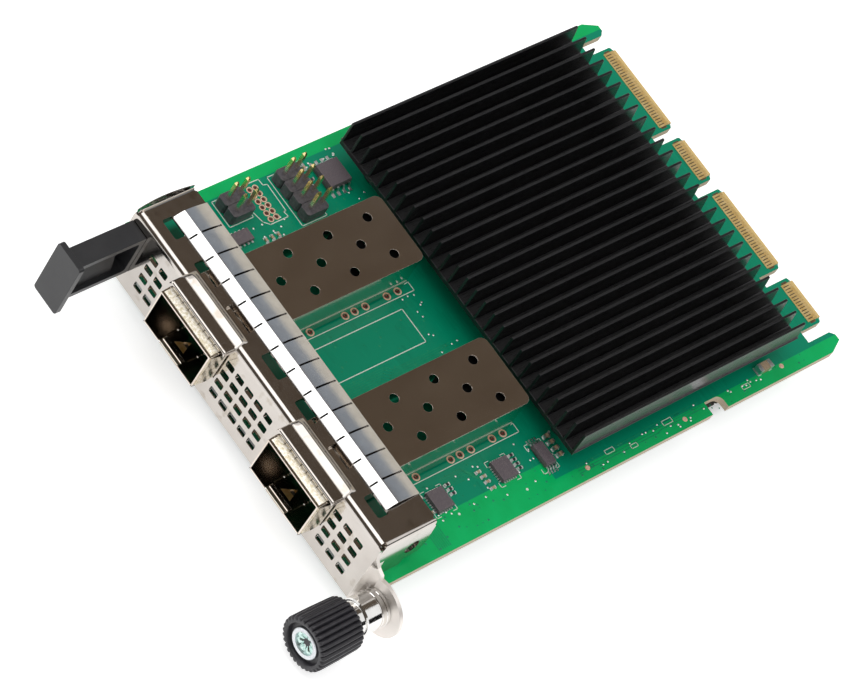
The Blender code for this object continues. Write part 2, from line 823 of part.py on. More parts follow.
# Host connectors: moulded blocks on the board at the rear of each cage, with a slot for a module's edge

for number, x in enumerate(port_xs, 1):
    half = connector_width / 2
    block = box(x - half, x + half, connector_front_y, connector_rear_y, seat_gap, connector_height)
    host = part(f"host_connector_{number}", block, (0.03, 0.03, 0.035), 0.5)
    middle = (cage_bottom_z + cage_top_z) / 2
    slot_half = half - connector_slot_side
    slot_end_y = connector_front_y + connector_slot_depth
    slot = box(x - slot_half, x + slot_half, connector_front_y - slide_gap, slot_end_y,
               middle - connector_slot_height / 2, middle + connector_slot_height / 2)
    cut(host, f"connector_{number}_slot", slot)


# Top spring strip: arched fingers across the flange


def top_arch():
    """The strip's section, seen along X, from its front foot to its rear foot."""
    base = flange_top_z + seat_gap
    lower = []
    for i in range(arch_steps + 1):
        along = i / arch_steps
        lower.append((strip_front_y + strip_depth * along, base + strip_rise * math.sin(math.pi * along)))
    upper = [(y, z + strip_sheet) for y, z in reversed(lower)]
    return lower + upper


strip = part("top_emi_spring", plate([top_arch()], strip_left_x, strip_right_x, "X"),
             (0.85, 0.84, 0.82), 0.2, 1.0)
strip_rear_y = strip_front_y + strip_depth
slit_runs = [(strip_front_y - strip_slit, strip_front_y + strip_front_slit),
             (strip_rear_y - strip_rear_slit, strip_rear_y + strip_slit)]
slits = []
for i in range(1, strip_fingers):
    slit_x = strip_left_x + i * strip_pitch
    for start, end in slit_runs:
        slits.append(box(slit_x - strip_slit / 2, slit_x + strip_slit / 2, start, end, flange_top_z - sheet,
                         flange_top_z + 2 * strip_rise + strip_sheet))
cut(strip, "top_strip_slits", merged(slits))


# Side spring strip: arched fingers on the outside of the left wall


def side_arch():
    """The side strip's section, seen from above."""
    wall = -face_half_width - seat_gap
    outer = [(wall - strip_sheet - side_strip_bulge * math.sin(math.pi * i / arch_steps),
              side_strip_front_y + flange_depth * i / arch_steps) for i in range(arch_steps + 1)]
    inner = [(x + strip_sheet, y) for x, y in reversed(outer)]
    return outer + inner


side_strip_top_z = side_strip_bottom_z + side_strip_height
side_strip = part("side_emi_spring", plate([side_arch()], side_strip_bottom_z, side_strip_top_z),
                  (0.85, 0.84, 0.82), 0.2, 1.0)
finger_height = side_strip_height / side_strip_fingers
side_slit_end_y = side_strip_front_y + flange_depth - side_strip_slit_rear
side_slits = []
for i in range(1, side_strip_fingers):
    slit_z = side_strip_bottom_z + i * finger_height
    side_slits.append(box(-face_half_width - 2 * side_strip_bulge - strip_sheet,
                          -face_half_width + strip_sheet, side_strip_front_y + side_strip_slit_front,
                          side_slit_end_y, slit_z - strip_slit / 2, slit_z + strip_slit / 2))
cut(side_strip, "side_strip_slits", merged(side_slits))


# Controller package: substrate on its solder balls' height, with a metal lid and a soft pad

half_package = package_size / 2
lid_half = half_package - lid_inset
substrate_top_z = ball_gap + substrate_thickness
part("controller_substrate", box(sink_centre_x - half_package, sink_centre_x + half_package,
                                 package_y - half_package, package_y + half_package, ball_gap,
                                 substrate_top_z), (0.05, 0.20, 0.10), 0.5)
part("controller_lid", box(sink_centre_x - lid_half, sink_centre_x + lid_half, package_y - lid_half,
                           package_y + lid_half, substrate_top_z + seat_gap, package_top_z),
     (0.65, 0.66, 0.68), 0.3, 1.0)
pad_bottom_z = package_top_z + seat_gap
pad_top_z = pad_bottom_z + pad_thickness
part("thermal_pad", box(sink_centre_x - lid_half, sink_centre_x + lid_half, package_y - lid_half,
                        package_y + lid_half, pad_bottom_z, pad_top_z), (0.35, 0.38, 0.45), 0.8)


# Heat sink: one black extrusion of a base with fins, a pedestal down to the pad and four drilled posts


def fin_section():
    """The base and fins, seen from the front."""
    left = sink_centre_x - (fin_count - 1) * fin_pitch / 2
    right = left + (fin_count - 1) * fin_pitch
    half = fin_thickness / 2
    points = [(left - half, base_bottom_z), (right + half, base_bottom_z)]
    for i in reversed(range(fin_count)):
        x = left + i * fin_pitch
        if i < fin_count - 1:
            points.append((x + half, base_top_z))
        points += [(x + half, fin_top_z), (x - half, fin_top_z)]
        if i > 0:
            points.append((x - half, base_top_z))
    return points


sink_black = (0.02, 0.02, 0.022)
sink_end_y = sink_rear_y + sink_rear_slope
sink = part("heat_sink", plate([fin_section()], sink_front_y, sink_end_y, "Y"), sink_black, 0.3, 0.6)
slope_top = fin_top_z + fin_thickness
slope_run = sink_rear_slope * (slope_top - base_bottom_z) / (fin_top_z - base_bottom_z)
fin_span = fin_count * fin_pitch
slope = [(sink_end_y - slope_run, slope_top), (sink_end_y, base_bottom_z),
         (sink_end_y + fin_pitch, base_bottom_z), (sink_end_y + fin_pitch, slope_top)]
cut(sink, "rear_slope", plate([slope], sink_centre_x - fin_span, sink_centre_x + fin_span, "X"))
pedestal_half = lid_half + pedestal_margin
join(sink, "pedestal", box(sink_centre_x - pedestal_half, sink_centre_x + pedestal_half,
                           package_y - pedestal_half, package_y + pedestal_half, pad_top_z + seat_gap,
                           base_bottom_z + base_thickness / 2))
post_top_z = base_bottom_z + base_thickness / 2
join(sink, "posts", merged([rod(post_radius, seat_gap, post_top_z, "Z", spot, 16) for spot in post_spots]))
grip_radius = screw_radius + screw_hole_gap
grip_top_z = screw_grip + slide_gap
cut(sink, "post_holes", merged([rod(grip_radius, 0.0, grip_top_z, "Z", spot, 12) for spot in post_spots]))


# Heat sink screws: up through the board and the film into the posts

for number, spot in enumerate(post_spots, 1):
    board_screw(f"heat_sink_screw_{number}", spot, screw_grip)


# Pin headers: moulded bases with square pins through them


def header(name, x, y, columns, rows):
    """A header whose first pin stands at x, y."""
    margin = header_pitch / 2 - seat_gap
    right = x + (columns - 1) * header_pitch
    rear = y + (rows - 1) * header_pitch
    body = box(x - margin, right + margin, y - margin, rear + margin, seat_gap, header_body_height)
    made = part(name, body, (0.03, 0.03, 0.035), 0.5)
    half = header_pin_size / 2
    low = header_body_height / 2
    pins = []
    for column in range(columns):
        for row in range(rows):
            px = x + column * header_pitch
            py = y + row * header_pitch
            pins.append(box(px - half, px + half, py - half, py + half, low, header_pin_top))
    join(made, name + "_pins", merged(pins))
    return made


header("pin_header_large", header_inset - half_board, cage_rear_y - large_header_setback, 4, 2)
header("pin_header_small", header_inset - half_board, cage_rear_y - small_header_setback, 2, 2)


# Surface-mounted parts

chip_black = (0.025, 0.025, 0.028)


def chip(name, side, spot, size, colour=chip_black):
    """A moulded body or a ceramic block. side is -1 for a spot measured from the left edge, or 1."""
    x, y = side * (half_board - spot[0]), cage_rear_y + spot[1]
    width, depth, height = size
    return part(name, box(x - width / 2, x + width / 2, y - depth / 2, y + depth / 2, seat_gap,
                          seat_gap + height), colour, 0.5)


def leads(body, side, spot, reach, count, pitch):
    """Flat leads out of both ends of a body along X."""
    x, y = side * (half_board - spot[0]), cage_rear_y + spot[1]
    first = y - (count - 1) * pitch / 2
    found = []
    for i in range(count):
        middle = first + i * pitch
        found.append(box(x - reach, x + reach, middle - lead_width / 2, middle + lead_width / 2, seat_gap,
                         seat_gap + lead_thickness))
    join(body, body.name + "_leads", merged(found))


memory_chip = chip("memory_chip", -1, memory_chip_spot, memory_chip_size)
leads(memory_chip, -1, memory_chip_spot, memory_lead_reach, memory_leads, memory_lead_pitch)
power_switch = chip("power_switch", 1, power_switch_spot, power_switch_size)
leads(power_switch, 1, power_switch_spot, power_lead_reach, power_leads, power_lead_pitch)
for number, spot in enumerate(regulator_spots, 1):
    chip(f"regulator_{number}", 1, spot, regulator_size)
chip("clock_chip", -1, clock_chip_spot, clock_chip_size)
for number, spot in enumerate(translator_spots, 1):
    chip(f"translator_chip_{number}", -1, spot, translator_size)
capacitor_brown = (0.45, 0.34, 0.22)
for number in range(capacitor_count):
    spot = (capacitor_spot[0] - number * capacitor_pitch, capacitor_spot[1])
    chip(f"capacitor_{number + 1}", 1, spot, capacitor_size, capacitor_brown)
bulk_capacitor_spot = (bulk_capacitor_inset, card_depth - bulk_capacitor_setback - cage_rear_y)
chip("bulk_capacitor", 1, bulk_capacitor_spot, bulk_capacitor_size, capacitor_brown)


# Insulating film under the board, with clear holes round the screws and legs

film_holes = [circle(spot, screw_head_radius + film_hole_gap / 2, 16) for spot in post_spots]
leg_front = leg_positions[0] - film_hole_gap
leg_rear = leg_positions[-1] + film_hole_gap
film_holes += [rectangle(x - film_hole_gap, x + film_hole_gap, leg_front, leg_rear) for x in leg_xs()]
film_half = half_board - film_margin
film_front_y = leg_front - film_lead
film_low = -board_thickness - seat_gap - film_thickness
part("insulating_film", plate([rectangle(-film_half, film_half, film_front_y, film_rear_y)] + film_holes,
                              film_low, film_low + film_thickness), (0.02, 0.02, 0.02), 0.4)


# Pull tab: a moulded beam with a pocketed side, a finger plate at its front and a tenon through the face

tab_back_y = -seat_gap
tab = part("pull_tab", box(tab_x - tab_half_width, tab_x + tab_half_width, tab_plate_front_y, tab_back_y,
                           tab_bottom_z, tab_top_z), (0.03, 0.03, 0.032), 0.5)
join(tab, "tab_plate", box(tab_x - tab_plate_width / 2, tab_x + tab_plate_width / 2, tab_plate_front_y,
                           tab_plate_front_y + tab_plate_thickness, tab_plate_bottom_z, tab_plate_top_z))
cut(tab, "tab_pocket", box(tab_x - tab_half_width + tab_web, tab_x + 2 * tab_half_width,
                           tab_plate_front_y + tab_plate_thickness, tab_back_y - tab_foot_thickness,
                           tab_bottom_z + tab_wall, tab_top_z - tab_wall))
join(tab, "tab_tenon", box(tab_x - tab_tenon_width / 2, tab_x + tab_tenon_width / 2,
                           tab_back_y - tab_foot_thickness / 2, sheet, tenon_z - tab_tenon_height / 2,
                           tenon_z + tab_tenon_height / 2))


# Thumbscrew: a sleeve swaged in the ear, and a sprung screw with a ridged knob on it

chrome = (0.80, 0.80, 0.82)
sleeve_rear_y = ear_offset - seat_gap
sleeve_front_y = sleeve_rear_y - sleeve_length
sleeve_step_y = sleeve_front_y + sleeve_step_length
sleeve_inner = sleeve_step_radius - sleeve_wall
ear_rear_y = ear_offset + sheet
swage_radius = ear_hole_radius - running_gap
stop_y = sleeve_rear_y - sleeve_wall
shank_clear = shank_radius + running_gap
turned("thumbscrew_sleeve", [(sleeve_inner, sleeve_front_y), (sleeve_step_radius, sleeve_front_y),
                             (sleeve_step_radius, sleeve_step_y), (sleeve_radius, sleeve_step_y),
                             (sleeve_radius, sleeve_rear_y), (swage_radius, sleeve_rear_y),
                             (swage_radius, ear_rear_y + seat_gap), (shank_clear, ear_rear_y + seat_gap),
                             (shank_clear, stop_y), (sleeve_inner, stop_y)], chrome, 0.2, 1.0)

bore_end_y = sleeve_front_y - screw_travel - spring_room - slide_gap
bore_radius = sleeve_step_radius + running_gap
insert_clear = insert_radius + running_gap
insert_rear_y = knob_front_y + insert_depth
neck_clear = shank_neck_radius + running_gap
knob = turned("thumbscrew_knob",
              [(insert_clear, knob_front_y), (knob_radius - knob_chamfer, knob_front_y),
               (knob_radius, knob_front_y + knob_chamfer), (knob_rear_radius, knob_rear_y),
               (bore_radius, knob_rear_y), (bore_radius, bore_end_y), (neck_clear, bore_end_y),
               (neck_clear, insert_rear_y + seat_gap), (insert_clear, insert_rear_y + seat_gap)],
              (0.02, 0.02, 0.022), 0.45, 0.0, 60)
groove_front_y = knob_front_y + 2 * knob_chamfer
groove_rear_y = knob_rear_y + knob_chamfer
knob_taper = (knob_rear_radius - knob_radius) / knob_length
grooves = []
for i in range(knob_ridges):
    angle = 2 * math.pi * i / knob_ridges
    outward = (math.cos(angle), math.sin(angle))
    groove = rod(knob_groove, groove_front_y, groove_rear_y, "Y", (screw_x, screw_z), 6)
    for corner in groove.verts:
        reach = knob_radius + knob_taper * (corner.co.y - knob_front_y)
        corner.co.x += reach * outward[0]
        corner.co.z += reach * outward[1]
    grooves.append(groove)
cut(knob, "knob_grooves", merged(grooves))

screw = turned("thumbscrew_screw",
               [(0.0, knob_front_y), (insert_radius - running_gap, knob_front_y),
                (insert_radius, knob_front_y + running_gap), (insert_radius, insert_rear_y),
                (shank_neck_radius, insert_rear_y), (shank_neck_radius, bore_end_y),
                (shank_radius, bore_end_y), (shank_radius, ear_rear_y - seat_gap),
                (0.0, ear_rear_y - seat_gap)], chrome, 0.2, 1.0)
half = recess_width / 2
arm = recess_length / 2
cross = [(-half, -arm), (half, -arm), (half, -half), (arm, -half), (arm, half), (half, half), (half, arm),
         (-half, arm), (-half, half), (-arm, half), (-arm, -half), (-half, -half)]
cross = [(screw_x + u, screw_z + v) for u, v in cross]
cut(screw, "cross_recess", plate([cross], knob_front_y - recess_depth, knob_front_y + recess_depth, "Y"),
    "MANIFOLD")


def spring_points():
    """Points along the coil round the shank, from the knob's bore to the sleeve's inner shoulder."""
    radius = (shank_radius + sleeve_inner) / 2
    start = bore_end_y + seat_gap + spring_wire / 2
    end = stop_y - seat_gap - spring_wire / 2
    count = spring_turns * 12
    found = []
    for i in range(count + 1):
        angle = 2 * math.pi * i / 12
        found.append((screw_x + radius * math.cos(angle), start + (end - start) * i / count,
                      screw_z + radius * math.sin(angle)))
    return found


coil = bpy.data.curves.new("thumbscrew_spring", "CURVE")
coil.dimensions = "3D"
coil.bevel_depth = spring_wire / 2
coil.bevel_resolution = 1
coil.use_fill_caps = True
route = coil.splines.new("POLY")
coil_points = spring_points()
route.points.add(len(coil_points) - 1)
for spot, (x, y, z) in zip(route.points, coil_points):
    spot.co = (x, y, z, 1.0)
spring = bpy.data.objects.new("thumbscrew_spring", coil)
parts.objects.link(spring)
coil.materials.append(finish_of("thumbscrew_spring", chrome, 0.3, 1.0))
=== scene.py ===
import math

import bmesh
import bpy
import numpy as np
from mathutils import Matrix, Vector


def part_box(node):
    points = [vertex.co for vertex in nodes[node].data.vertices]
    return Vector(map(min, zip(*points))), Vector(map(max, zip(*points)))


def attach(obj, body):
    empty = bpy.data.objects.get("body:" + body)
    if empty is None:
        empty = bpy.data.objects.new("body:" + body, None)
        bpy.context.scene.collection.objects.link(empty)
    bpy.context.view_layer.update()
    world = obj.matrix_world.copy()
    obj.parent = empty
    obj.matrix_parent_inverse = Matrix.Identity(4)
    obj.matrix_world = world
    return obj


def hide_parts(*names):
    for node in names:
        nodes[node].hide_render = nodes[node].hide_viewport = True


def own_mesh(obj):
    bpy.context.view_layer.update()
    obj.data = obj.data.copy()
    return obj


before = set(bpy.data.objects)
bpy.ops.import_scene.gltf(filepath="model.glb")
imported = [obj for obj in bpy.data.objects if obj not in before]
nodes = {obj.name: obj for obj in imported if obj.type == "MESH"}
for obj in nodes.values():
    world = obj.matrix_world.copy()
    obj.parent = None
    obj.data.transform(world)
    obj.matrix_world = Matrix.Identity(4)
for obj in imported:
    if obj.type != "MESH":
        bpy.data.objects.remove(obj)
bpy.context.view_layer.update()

scene = bpy.context.scene

# The view of the card: from above its right front corner, rolled so that the faceplate lies at the
# lower left. The camera was solved on the board's edges, the fins and the card edge.
camera_place = (0.191530, -0.412531, 0.584936)
camera_turn, camera_height, camera_roll = 22.418, 49.999, 35.979
camera_data = bpy.data.cameras.new("camera")
camera_data.sensor_width = 36.0
camera_data.lens = 187.606
camera_data.clip_start = 0.01
camera = bpy.data.objects.new("camera", camera_data)
camera.matrix_world = (Matrix.Translation(camera_place) @ Matrix.Rotation(math.radians(camera_turn), 4, "Z")
                       @ Matrix.Rotation(math.radians(90.0 - camera_height), 4, "X")
                       @ Matrix.Rotation(math.radians(camera_roll), 4, "Z"))
scene.collection.objects.link(camera)
scene.camera = camera
scene.view_settings.view_transform = "Standard"

# The room: a pale floor just under the card, a white sky, one wide lamp overhead and a low one from the
# left. Dark boards stand behind and before the card, where its sheet metal mirrors the room. The
# floor's own glow stops under the card, where its shadow lies.
floor_low = -0.0094
sky_level, floor_glow = 0.62, 0.62


def wire(tree, kind, sockets, **settings):
    """One shader node, with its own settings and with values or links on its inputs by name or number."""
    node = tree.nodes.new("ShaderNode" + kind)
    for key, value in settings.items():
        setattr(node, key, value)
    for key, value in sockets.items():
        if isinstance(value, bpy.types.NodeSocket):
            tree.links.new(value, node.inputs[key])
        else:
            node.inputs[key].default_value = value
    return node


def add_object(name, mesh):
    made = bpy.data.objects.new(name, mesh)
    scene.collection.objects.link(made)
    return made


def combine(tree, operation, first, second):
    return wire(tree, "Math", {0: first, 1: second}, operation=operation).outputs[0]


def flat_panel(name, width, depth, matrix):
    mesh = bpy.data.meshes.new(name)
    shape = bmesh.new()
    bmesh.ops.create_grid(shape, x_segments=1, y_segments=1, size=0.5)
    shape.transform(Matrix.Diagonal((width, depth, 1.0, 1.0)))
    shape.to_mesh(mesh)
    shape.free()
    panel = add_object(name, mesh)
    panel.matrix_world = matrix
    return panel


sky = bpy.data.worlds.new("sky")
scene.world = sky
sky.use_nodes = True
tree = sky.node_tree
rays = tree.nodes.new("ShaderNodeLightPath").outputs
seen = combine(tree, "MAXIMUM", rays["Is Camera Ray"], rays["Is Glossy Ray"])
seen = combine(tree, "MAXIMUM", seen, rays["Is Transmission Ray"])
level = wire(tree, "MapRange", {"Value": seen, "To Min": sky_level, "To Max": 1.0}).outputs["Result"]
background = tree.nodes["Background"]
background.inputs["Color"].default_value = (1.0, 1.0, 1.0, 1.0)
tree.links.new(level, background.inputs["Strength"])

floor = flat_panel("floor", 30.0, 30.0, Matrix.Translation((0.0, 0.0, floor_low)))
paint = bpy.data.materials.new("floor_white")
paint.use_nodes = True
tree = paint.node_tree
shader = tree.nodes["Principled BSDF"]
shader.inputs["Base Color"].default_value = (0.8, 0.8, 0.8, 1.0)
shader.inputs["Roughness"].default_value = 1.0
shader.inputs["Specular IOR Level"].default_value = 0.0
shader.inputs["Emission Color"].default_value = (1.0, 1.0, 1.0, 1.0)
rays = tree.nodes.new("ShaderNodeLightPath").outputs
seen = combine(tree, "MAXIMUM", rays["Is Camera Ray"], rays["Is Glossy Ray"])
glow = wire(tree, "MapRange", {"Value": seen, "To Min": 0.0, "To Max": floor_glow}).outputs["Result"]
ground = wire(tree, "SeparateXYZ", {0: tree.nodes.new("ShaderNodeTexCoord").outputs["Object"]}).outputs
clear_sides = []
for axis, middle, reach in ((0, 0.0, 0.036), (1, 0.055, 0.053)):
    off = combine(tree, "SUBTRACT", ground[axis], middle)
    off = wire(tree, "Math", {0: off}, operation="ABSOLUTE").outputs[0]
    off = wire(tree, "MapRange", {"Value": off, "From Min": reach - 0.004, "From Max": reach}).outputs[0]
    clear_sides.append(off)
glow = combine(tree, "MULTIPLY", glow, combine(tree, "MAXIMUM", *clear_sides))
tree.links.new(glow, shader.inputs["Emission Strength"])
floor.data.materials.append(paint)


def lamp(name, power, size, place, aim):
    data = bpy.data.lights.new(name, "AREA")
    data.shape = "RECTANGLE"
    data.size, data.size_y = size
    data.energy = power
    made = add_object(name, data)
    made.location = place
    made.rotation_euler = (Vector(aim) - Vector(place)).to_track_quat("-Z", "Y").to_euler()


lamp("overhead_lamp", 2.6, (0.9, 0.9), (0.05, 0.05, 0.95), (0.0, 0.05, 0.0))
lamp("left_lamp", 1.2, (0.5, 0.5), (-0.7, -0.35, 0.55), (0.0, 0.05, 0.0))


def dark_board(name, turn, low, high, half_turn, colour):
    """A glowing board on a wide ring round the card, seen only in mirror-like surfaces."""
    away = 1.2
    middle = math.radians((low + high) / 2)
    heading = math.radians(turn)
    place = Vector((math.sin(heading) * math.cos(middle), math.cos(heading) * math.cos(middle),
                    math.sin(middle))) * away
    facing = (-place).to_track_quat("Z", "Y").to_matrix().to_4x4()
    width = 2 * away * math.tan(math.radians(half_turn))
    height = 2 * away * math.tan(math.radians((high - low) / 2))
    board = flat_panel(name, width, height, Matrix.Translation(place) @ facing)
    cloth = bpy.data.materials.new(name)
    cloth.use_nodes = True
    cloth.node_tree.nodes.clear()
    glow = wire(cloth.node_tree, "Emission", {"Color": (*colour, 1.0), "Strength": 1.0})
    end = wire(cloth.node_tree, "OutputMaterial", {})
    cloth.node_tree.links.new(glow.outputs[0], end.inputs["Surface"])
    board.data.materials.append(cloth)
    board.visible_camera = False
    board.visible_diffuse = False
    board.visible_shadow = False


dark_board("rear_board", -36.0, 44.0, 66.0, 37.0, (0.105, 0.082, 0.062))
dark_board("rear_board_middle", -36.0, 33.5, 46.0, 37.0, (0.24, 0.265, 0.30))
dark_board("rear_board_low", -36.0, 4.0, 34.0, 37.0, (0.56, 0.52, 0.45))
dark_board("front_board", 157.6, 20.0, 68.0, 44.0, (0.10, 0.085, 0.07))
dark_board("right_board", 53.0, 0.5, 22.0, 16.0, (0.012, 0.012, 0.012))

# Circuit board: glass laminate 1.6 mm thick, routed to shape and drilled. A glossy green mask lies over
# copper planes, which stop short of the side margins, and the routed sides show the bare laminate.
margin_right, margin_right_front, margin_left = 35.3, 31.7, 35.7
margin_step, board_thick = 45.0, 1.57
flange_shade_left, flange_shade_right, flange_shade_rear = -34.0, 33.6, 13.0


def finish(name, colour, roughness, metallic=0.0, **sockets):
    """A material, its node tree and its shader. Names of sockets have _ for a space."""
    material = bpy.data.materials.new(name)
    material.use_nodes = True
    shader = material.node_tree.nodes["Principled BSDF"]
    shader.inputs["Base Color"].default_value = (*colour, 1.0)
    shader.inputs["Roughness"].default_value = roughness
    shader.inputs["Metallic"].default_value = metallic
    for key, value in sockets.items():
        shader.inputs[key.replace("_", " ")].default_value = value
    return material, material.node_tree, shader


def place_of(tree, stretch=(1.0, 1.0, 1.0)):
    """Places on the piece in millimetres, each way stretched by a factor."""
    spot = tree.nodes.new("ShaderNodeTexCoord").outputs["Object"]
    scale = tuple(1000.0 * factor for factor in stretch)
    return wire(tree, "VectorMath", {0: spot, 1: scale}, operation="MULTIPLY").outputs[0]


def grain(tree, size, detail=3.0, stretch=(1.0, 1.0, 1.0)):
    """Noise from 0 to 1, with spots of about a size in millimetres."""
    spots = wire(tree, "TexNoise", {"Vector": place_of(tree, stretch), "Scale": 1.0 / size,
                                    "Detail": detail}).outputs["Fac"]
    return wire(tree, "MapRange", {"Value": spots, "From Min": 0.3, "From Max": 0.7}).outputs["Result"]


def blend_colours(tree, share, first, second):
    """A mix of two colours or colour links."""
    mixed = tree.nodes.new("ShaderNodeMix")
    mixed.data_type = "RGBA"
    for socket, value in ((mixed.inputs[0], share), (mixed.inputs[6], first), (mixed.inputs[7], second)):
        if isinstance(value, bpy.types.NodeSocket):
            tree.links.new(value, socket)
        elif isinstance(value, tuple):
            socket.default_value = (*value, 1.0)
        else:
            socket.default_value = value
    return mixed.outputs[2]


def tint(tree, shader, share, first, second):
    """Gives the shader a base colour that runs from one colour to another."""
    tree.links.new(blend_colours(tree, share, first, second), shader.inputs["Base Color"])


def dent(tree, shader, height, depth):
    """A bump from a height link, with its depth in millimetres."""
    bump = wire(tree, "Bump", {"Height": height, "Distance": depth / 1000.0, "Strength": 1.0})
    tree.links.new(bump.outputs["Normal"], shader.inputs["Normal"])


def above(tree, value, limit, soft=0.02):
    """1 where a value is above a limit, and 0 below it."""
    return wire(tree, "MapRange", {"Value": value, "From Min": limit - soft,
                                   "From Max": limit + soft}).outputs[0]


def below(tree, value, limit, soft=0.02):
    return combine(tree, "SUBTRACT", 1.0, above(tree, value, limit, soft))


def cover(name, material):
    """Gives a solid that stays in the scene its finish."""
    nodes[name].data.materials.clear()
    nodes[name].data.materials.append(material)


mask_green, tree, shader = finish("board_mask", (0.0, 0.2, 0.1), 0.3, IOR=1.38)
axes = wire(tree, "SeparateXYZ", {0: place_of(tree)}).outputs
wide = combine(tree, "MULTIPLY", above(tree, axes[0], margin_right_front),
               below(tree, axes[1], margin_step))
bare = combine(tree, "MAXIMUM", wide, above(tree, axes[0], margin_right))
bare = combine(tree, "MAXIMUM", bare, below(tree, axes[0], -margin_left))
tracks = wire(tree, "TexBrick", {
    "Vector": place_of(tree, (1.0, 1.0, 0.0)), "Color1": (0.0, 0.0, 0.0, 1.0),
    "Color2": (1.0, 1.0, 1.0, 1.0), "Mortar": (0.5, 0.5, 0.5, 1.0), "Scale": 1.0,
    "Mortar Size": 0.10, "Brick Width": 6.5, "Row Height": 0.62}).outputs["Color"]
patch = above(tree, grain(tree, 6.0, 1.0), 0.62, 0.01)
plane_green = blend_colours(tree, tracks, (0.0010, 0.245, 0.130), (0.0016, 0.290, 0.156))
plane_green = blend_colours(tree, patch, (0.0012, 0.272, 0.146), plane_green)
bare_green = blend_colours(tree, grain(tree, 4.0), (0.0010, 0.44, 0.112), (0.002, 0.50, 0.138))
green = blend_colours(tree, bare, plane_green, bare_green)
# Painted shade: under the faceplate's flange the mask is coloured a much darker green, where the flange
# shades the board.
flange_painted_shade = below(tree, axes[1], flange_shade_rear, 1.0)
flange_painted_shade = combine(tree, "MULTIPLY", flange_painted_shade, below(tree, axes[0], flange_shade_right, 0.6))
flange_painted_shade = combine(tree, "MULTIPLY", flange_painted_shade, above(tree, axes[0], flange_shade_left, 0.6))
green = blend_colours(tree, flange_painted_shade, green, (0.0008, 0.085, 0.042))
normal = tree.nodes.new("ShaderNodeNewGeometry").outputs["Normal"]
facing = wire(tree, "SeparateXYZ", {0: normal}).outputs[2]
flat = above(tree, wire(tree, "Math", {0: facing}, operation="ABSOLUTE").outputs[0], 0.5)
weave = grain(tree, 0.25, stretch=(1.0, 1.0, 6.0))
glass = blend_colours(tree, weave, (0.62, 0.54, 0.40), (0.82, 0.70, 0.54))
tint(tree, shader, flat, glass, green)
rough = blend_colours(tree, flat, (0.75, 0.75, 0.75), (0.22, 0.22, 0.22))
tree.links.new(rough, shader.inputs["Roughness"])
dent(tree, shader, grain(tree, 0.5, 2.0), 0.004)
cover("circuit_board", mask_green)

# Prints and plating on the board: bare white outlines and pads of silk-screen ink, plated rings round
# the drilled holes, vias capped by the mask, and tracks that stand a little proud under it.
ink_high, ring_high, track_high, sunk = 0.03, 0.05, 0.02, -0.02
port_xs = (-13.775, 16.975)
cage_half, cage_rear = 7.0, 43.4


def skin(rings, ends="capped", place=(0.0, 0.0, 0.0)):
    """A skin over rings of corners, moved to a place. Its ends are open, capped or joined to each other,
    and a ring of one corner makes a fan."""
    shape = bmesh.new()
    count = max(len(ring) for ring in rings)
    rings = [[shape.verts.new(corner) for corner in ring] * (count // len(ring)) for ring in rings]
    if ends == "capped":
        shape.faces.new(rings[0])
        shape.faces.new(rings[-1])
    elif ends == "joined":
        rings.append(rings[0])
    for first, second in zip(rings, rings[1:]):
        for i in range(count):
            j = (i + 1) % count
            corners = []
            for corner in (first[i], first[j], second[j], second[i]):
                if corner not in corners:
                    corners.append(corner)
            if len(corners) > 2:
                shape.faces.new(corners)
    bmesh.ops.recalc_face_normals(shape, faces=shape.faces)
    shape.transform(Matrix.Translation(place))
    return shape


def set_across(u, v, level, across):
    """A place from its two sizes in a section and its level across the section."""
    return {"Z": (u, v, level), "Y": (u, level, v), "X": (level, u, v)}[across]


def prism(points, low, high, across="Z"):
    """A straight bar with a convex outline, closed at both ends."""
    return skin([[set_across(u, v, level, across) for u, v in points] for level in (low, high)])


def rectangle(x0, x1, y0, y1):
    return [(x0, y0), (x1, y0), (x1, y1), (x0, y1)]


def box(x0, x1, y0, y1, z0, z1):
    return prism(rectangle(x0, x1, y0, y1), z0, z1)


def circle(centre, radius, sides=24, start=0.0, end=360.0):
    whole = end - start >= 360.0
    steps = sides if whole else sides - 1
    found = []
    for i in range(sides):
        angle = math.radians(start + (end - start) * i / steps)
        found.append((centre[0] + radius * math.cos(angle), centre[1] + radius * math.sin(angle)))
    return found


def lathe(profile, place, sides=24, across="Z", closed=False):
    """A shape turned about an axis through a place, from (radius, level) points. closed makes it a ring."""
    rings = []
    for radius, level in profile:
        section = circle((0.0, 0.0), radius, sides) if radius > 0.0 else [(0.0, 0.0)]
        rings.append([set_across(u, v, level, across) for u, v in section])
    return skin(rings, "joined" if closed else "open", place)


def merged(shapes):
    """One mesh that holds several separate bodies."""
    whole = bmesh.new()
    carrier = bpy.data.meshes.new("carrier")
    for shape in shapes:
        shape.to_mesh(carrier)
        shape.free()
        whole.from_mesh(carrier)
    bpy.data.meshes.remove(carrier)
    return whole


def piece(name, shape, material, body="card", edge=0.0, steps=2, sharp=35.0, replaces=()):
    """A piece of the card from a mesh drawn in millimetres, with its edges rounded off."""
    shape.transform(Matrix.Scale(0.001, 4))
    mesh = bpy.data.meshes.new(name)
    shape.to_mesh(mesh)
    shape.free()
    mesh.materials.append(material)
    mesh.polygons.foreach_set("use_smooth", [True] * len(mesh.polygons))
    made = add_object(name, mesh)
    if edge > 0.0:
        rounding = made.modifiers.new("edge", "BEVEL")
        rounding.width = edge / 1000.0
        rounding.segments = steps
        rounding.limit_method = "ANGLE"
        rounding.angle_limit = math.radians(sharp)
        rounding.harden_normals = True
        weighting = made.modifiers.new("weighting", "WEIGHTED_NORMAL")
        weighting.keep_sharp = True
    else:
        mesh.set_sharp_from_angle(angle=math.radians(sharp))
    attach(made, body)
    if replaces:
        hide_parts(*replaces)
    return made


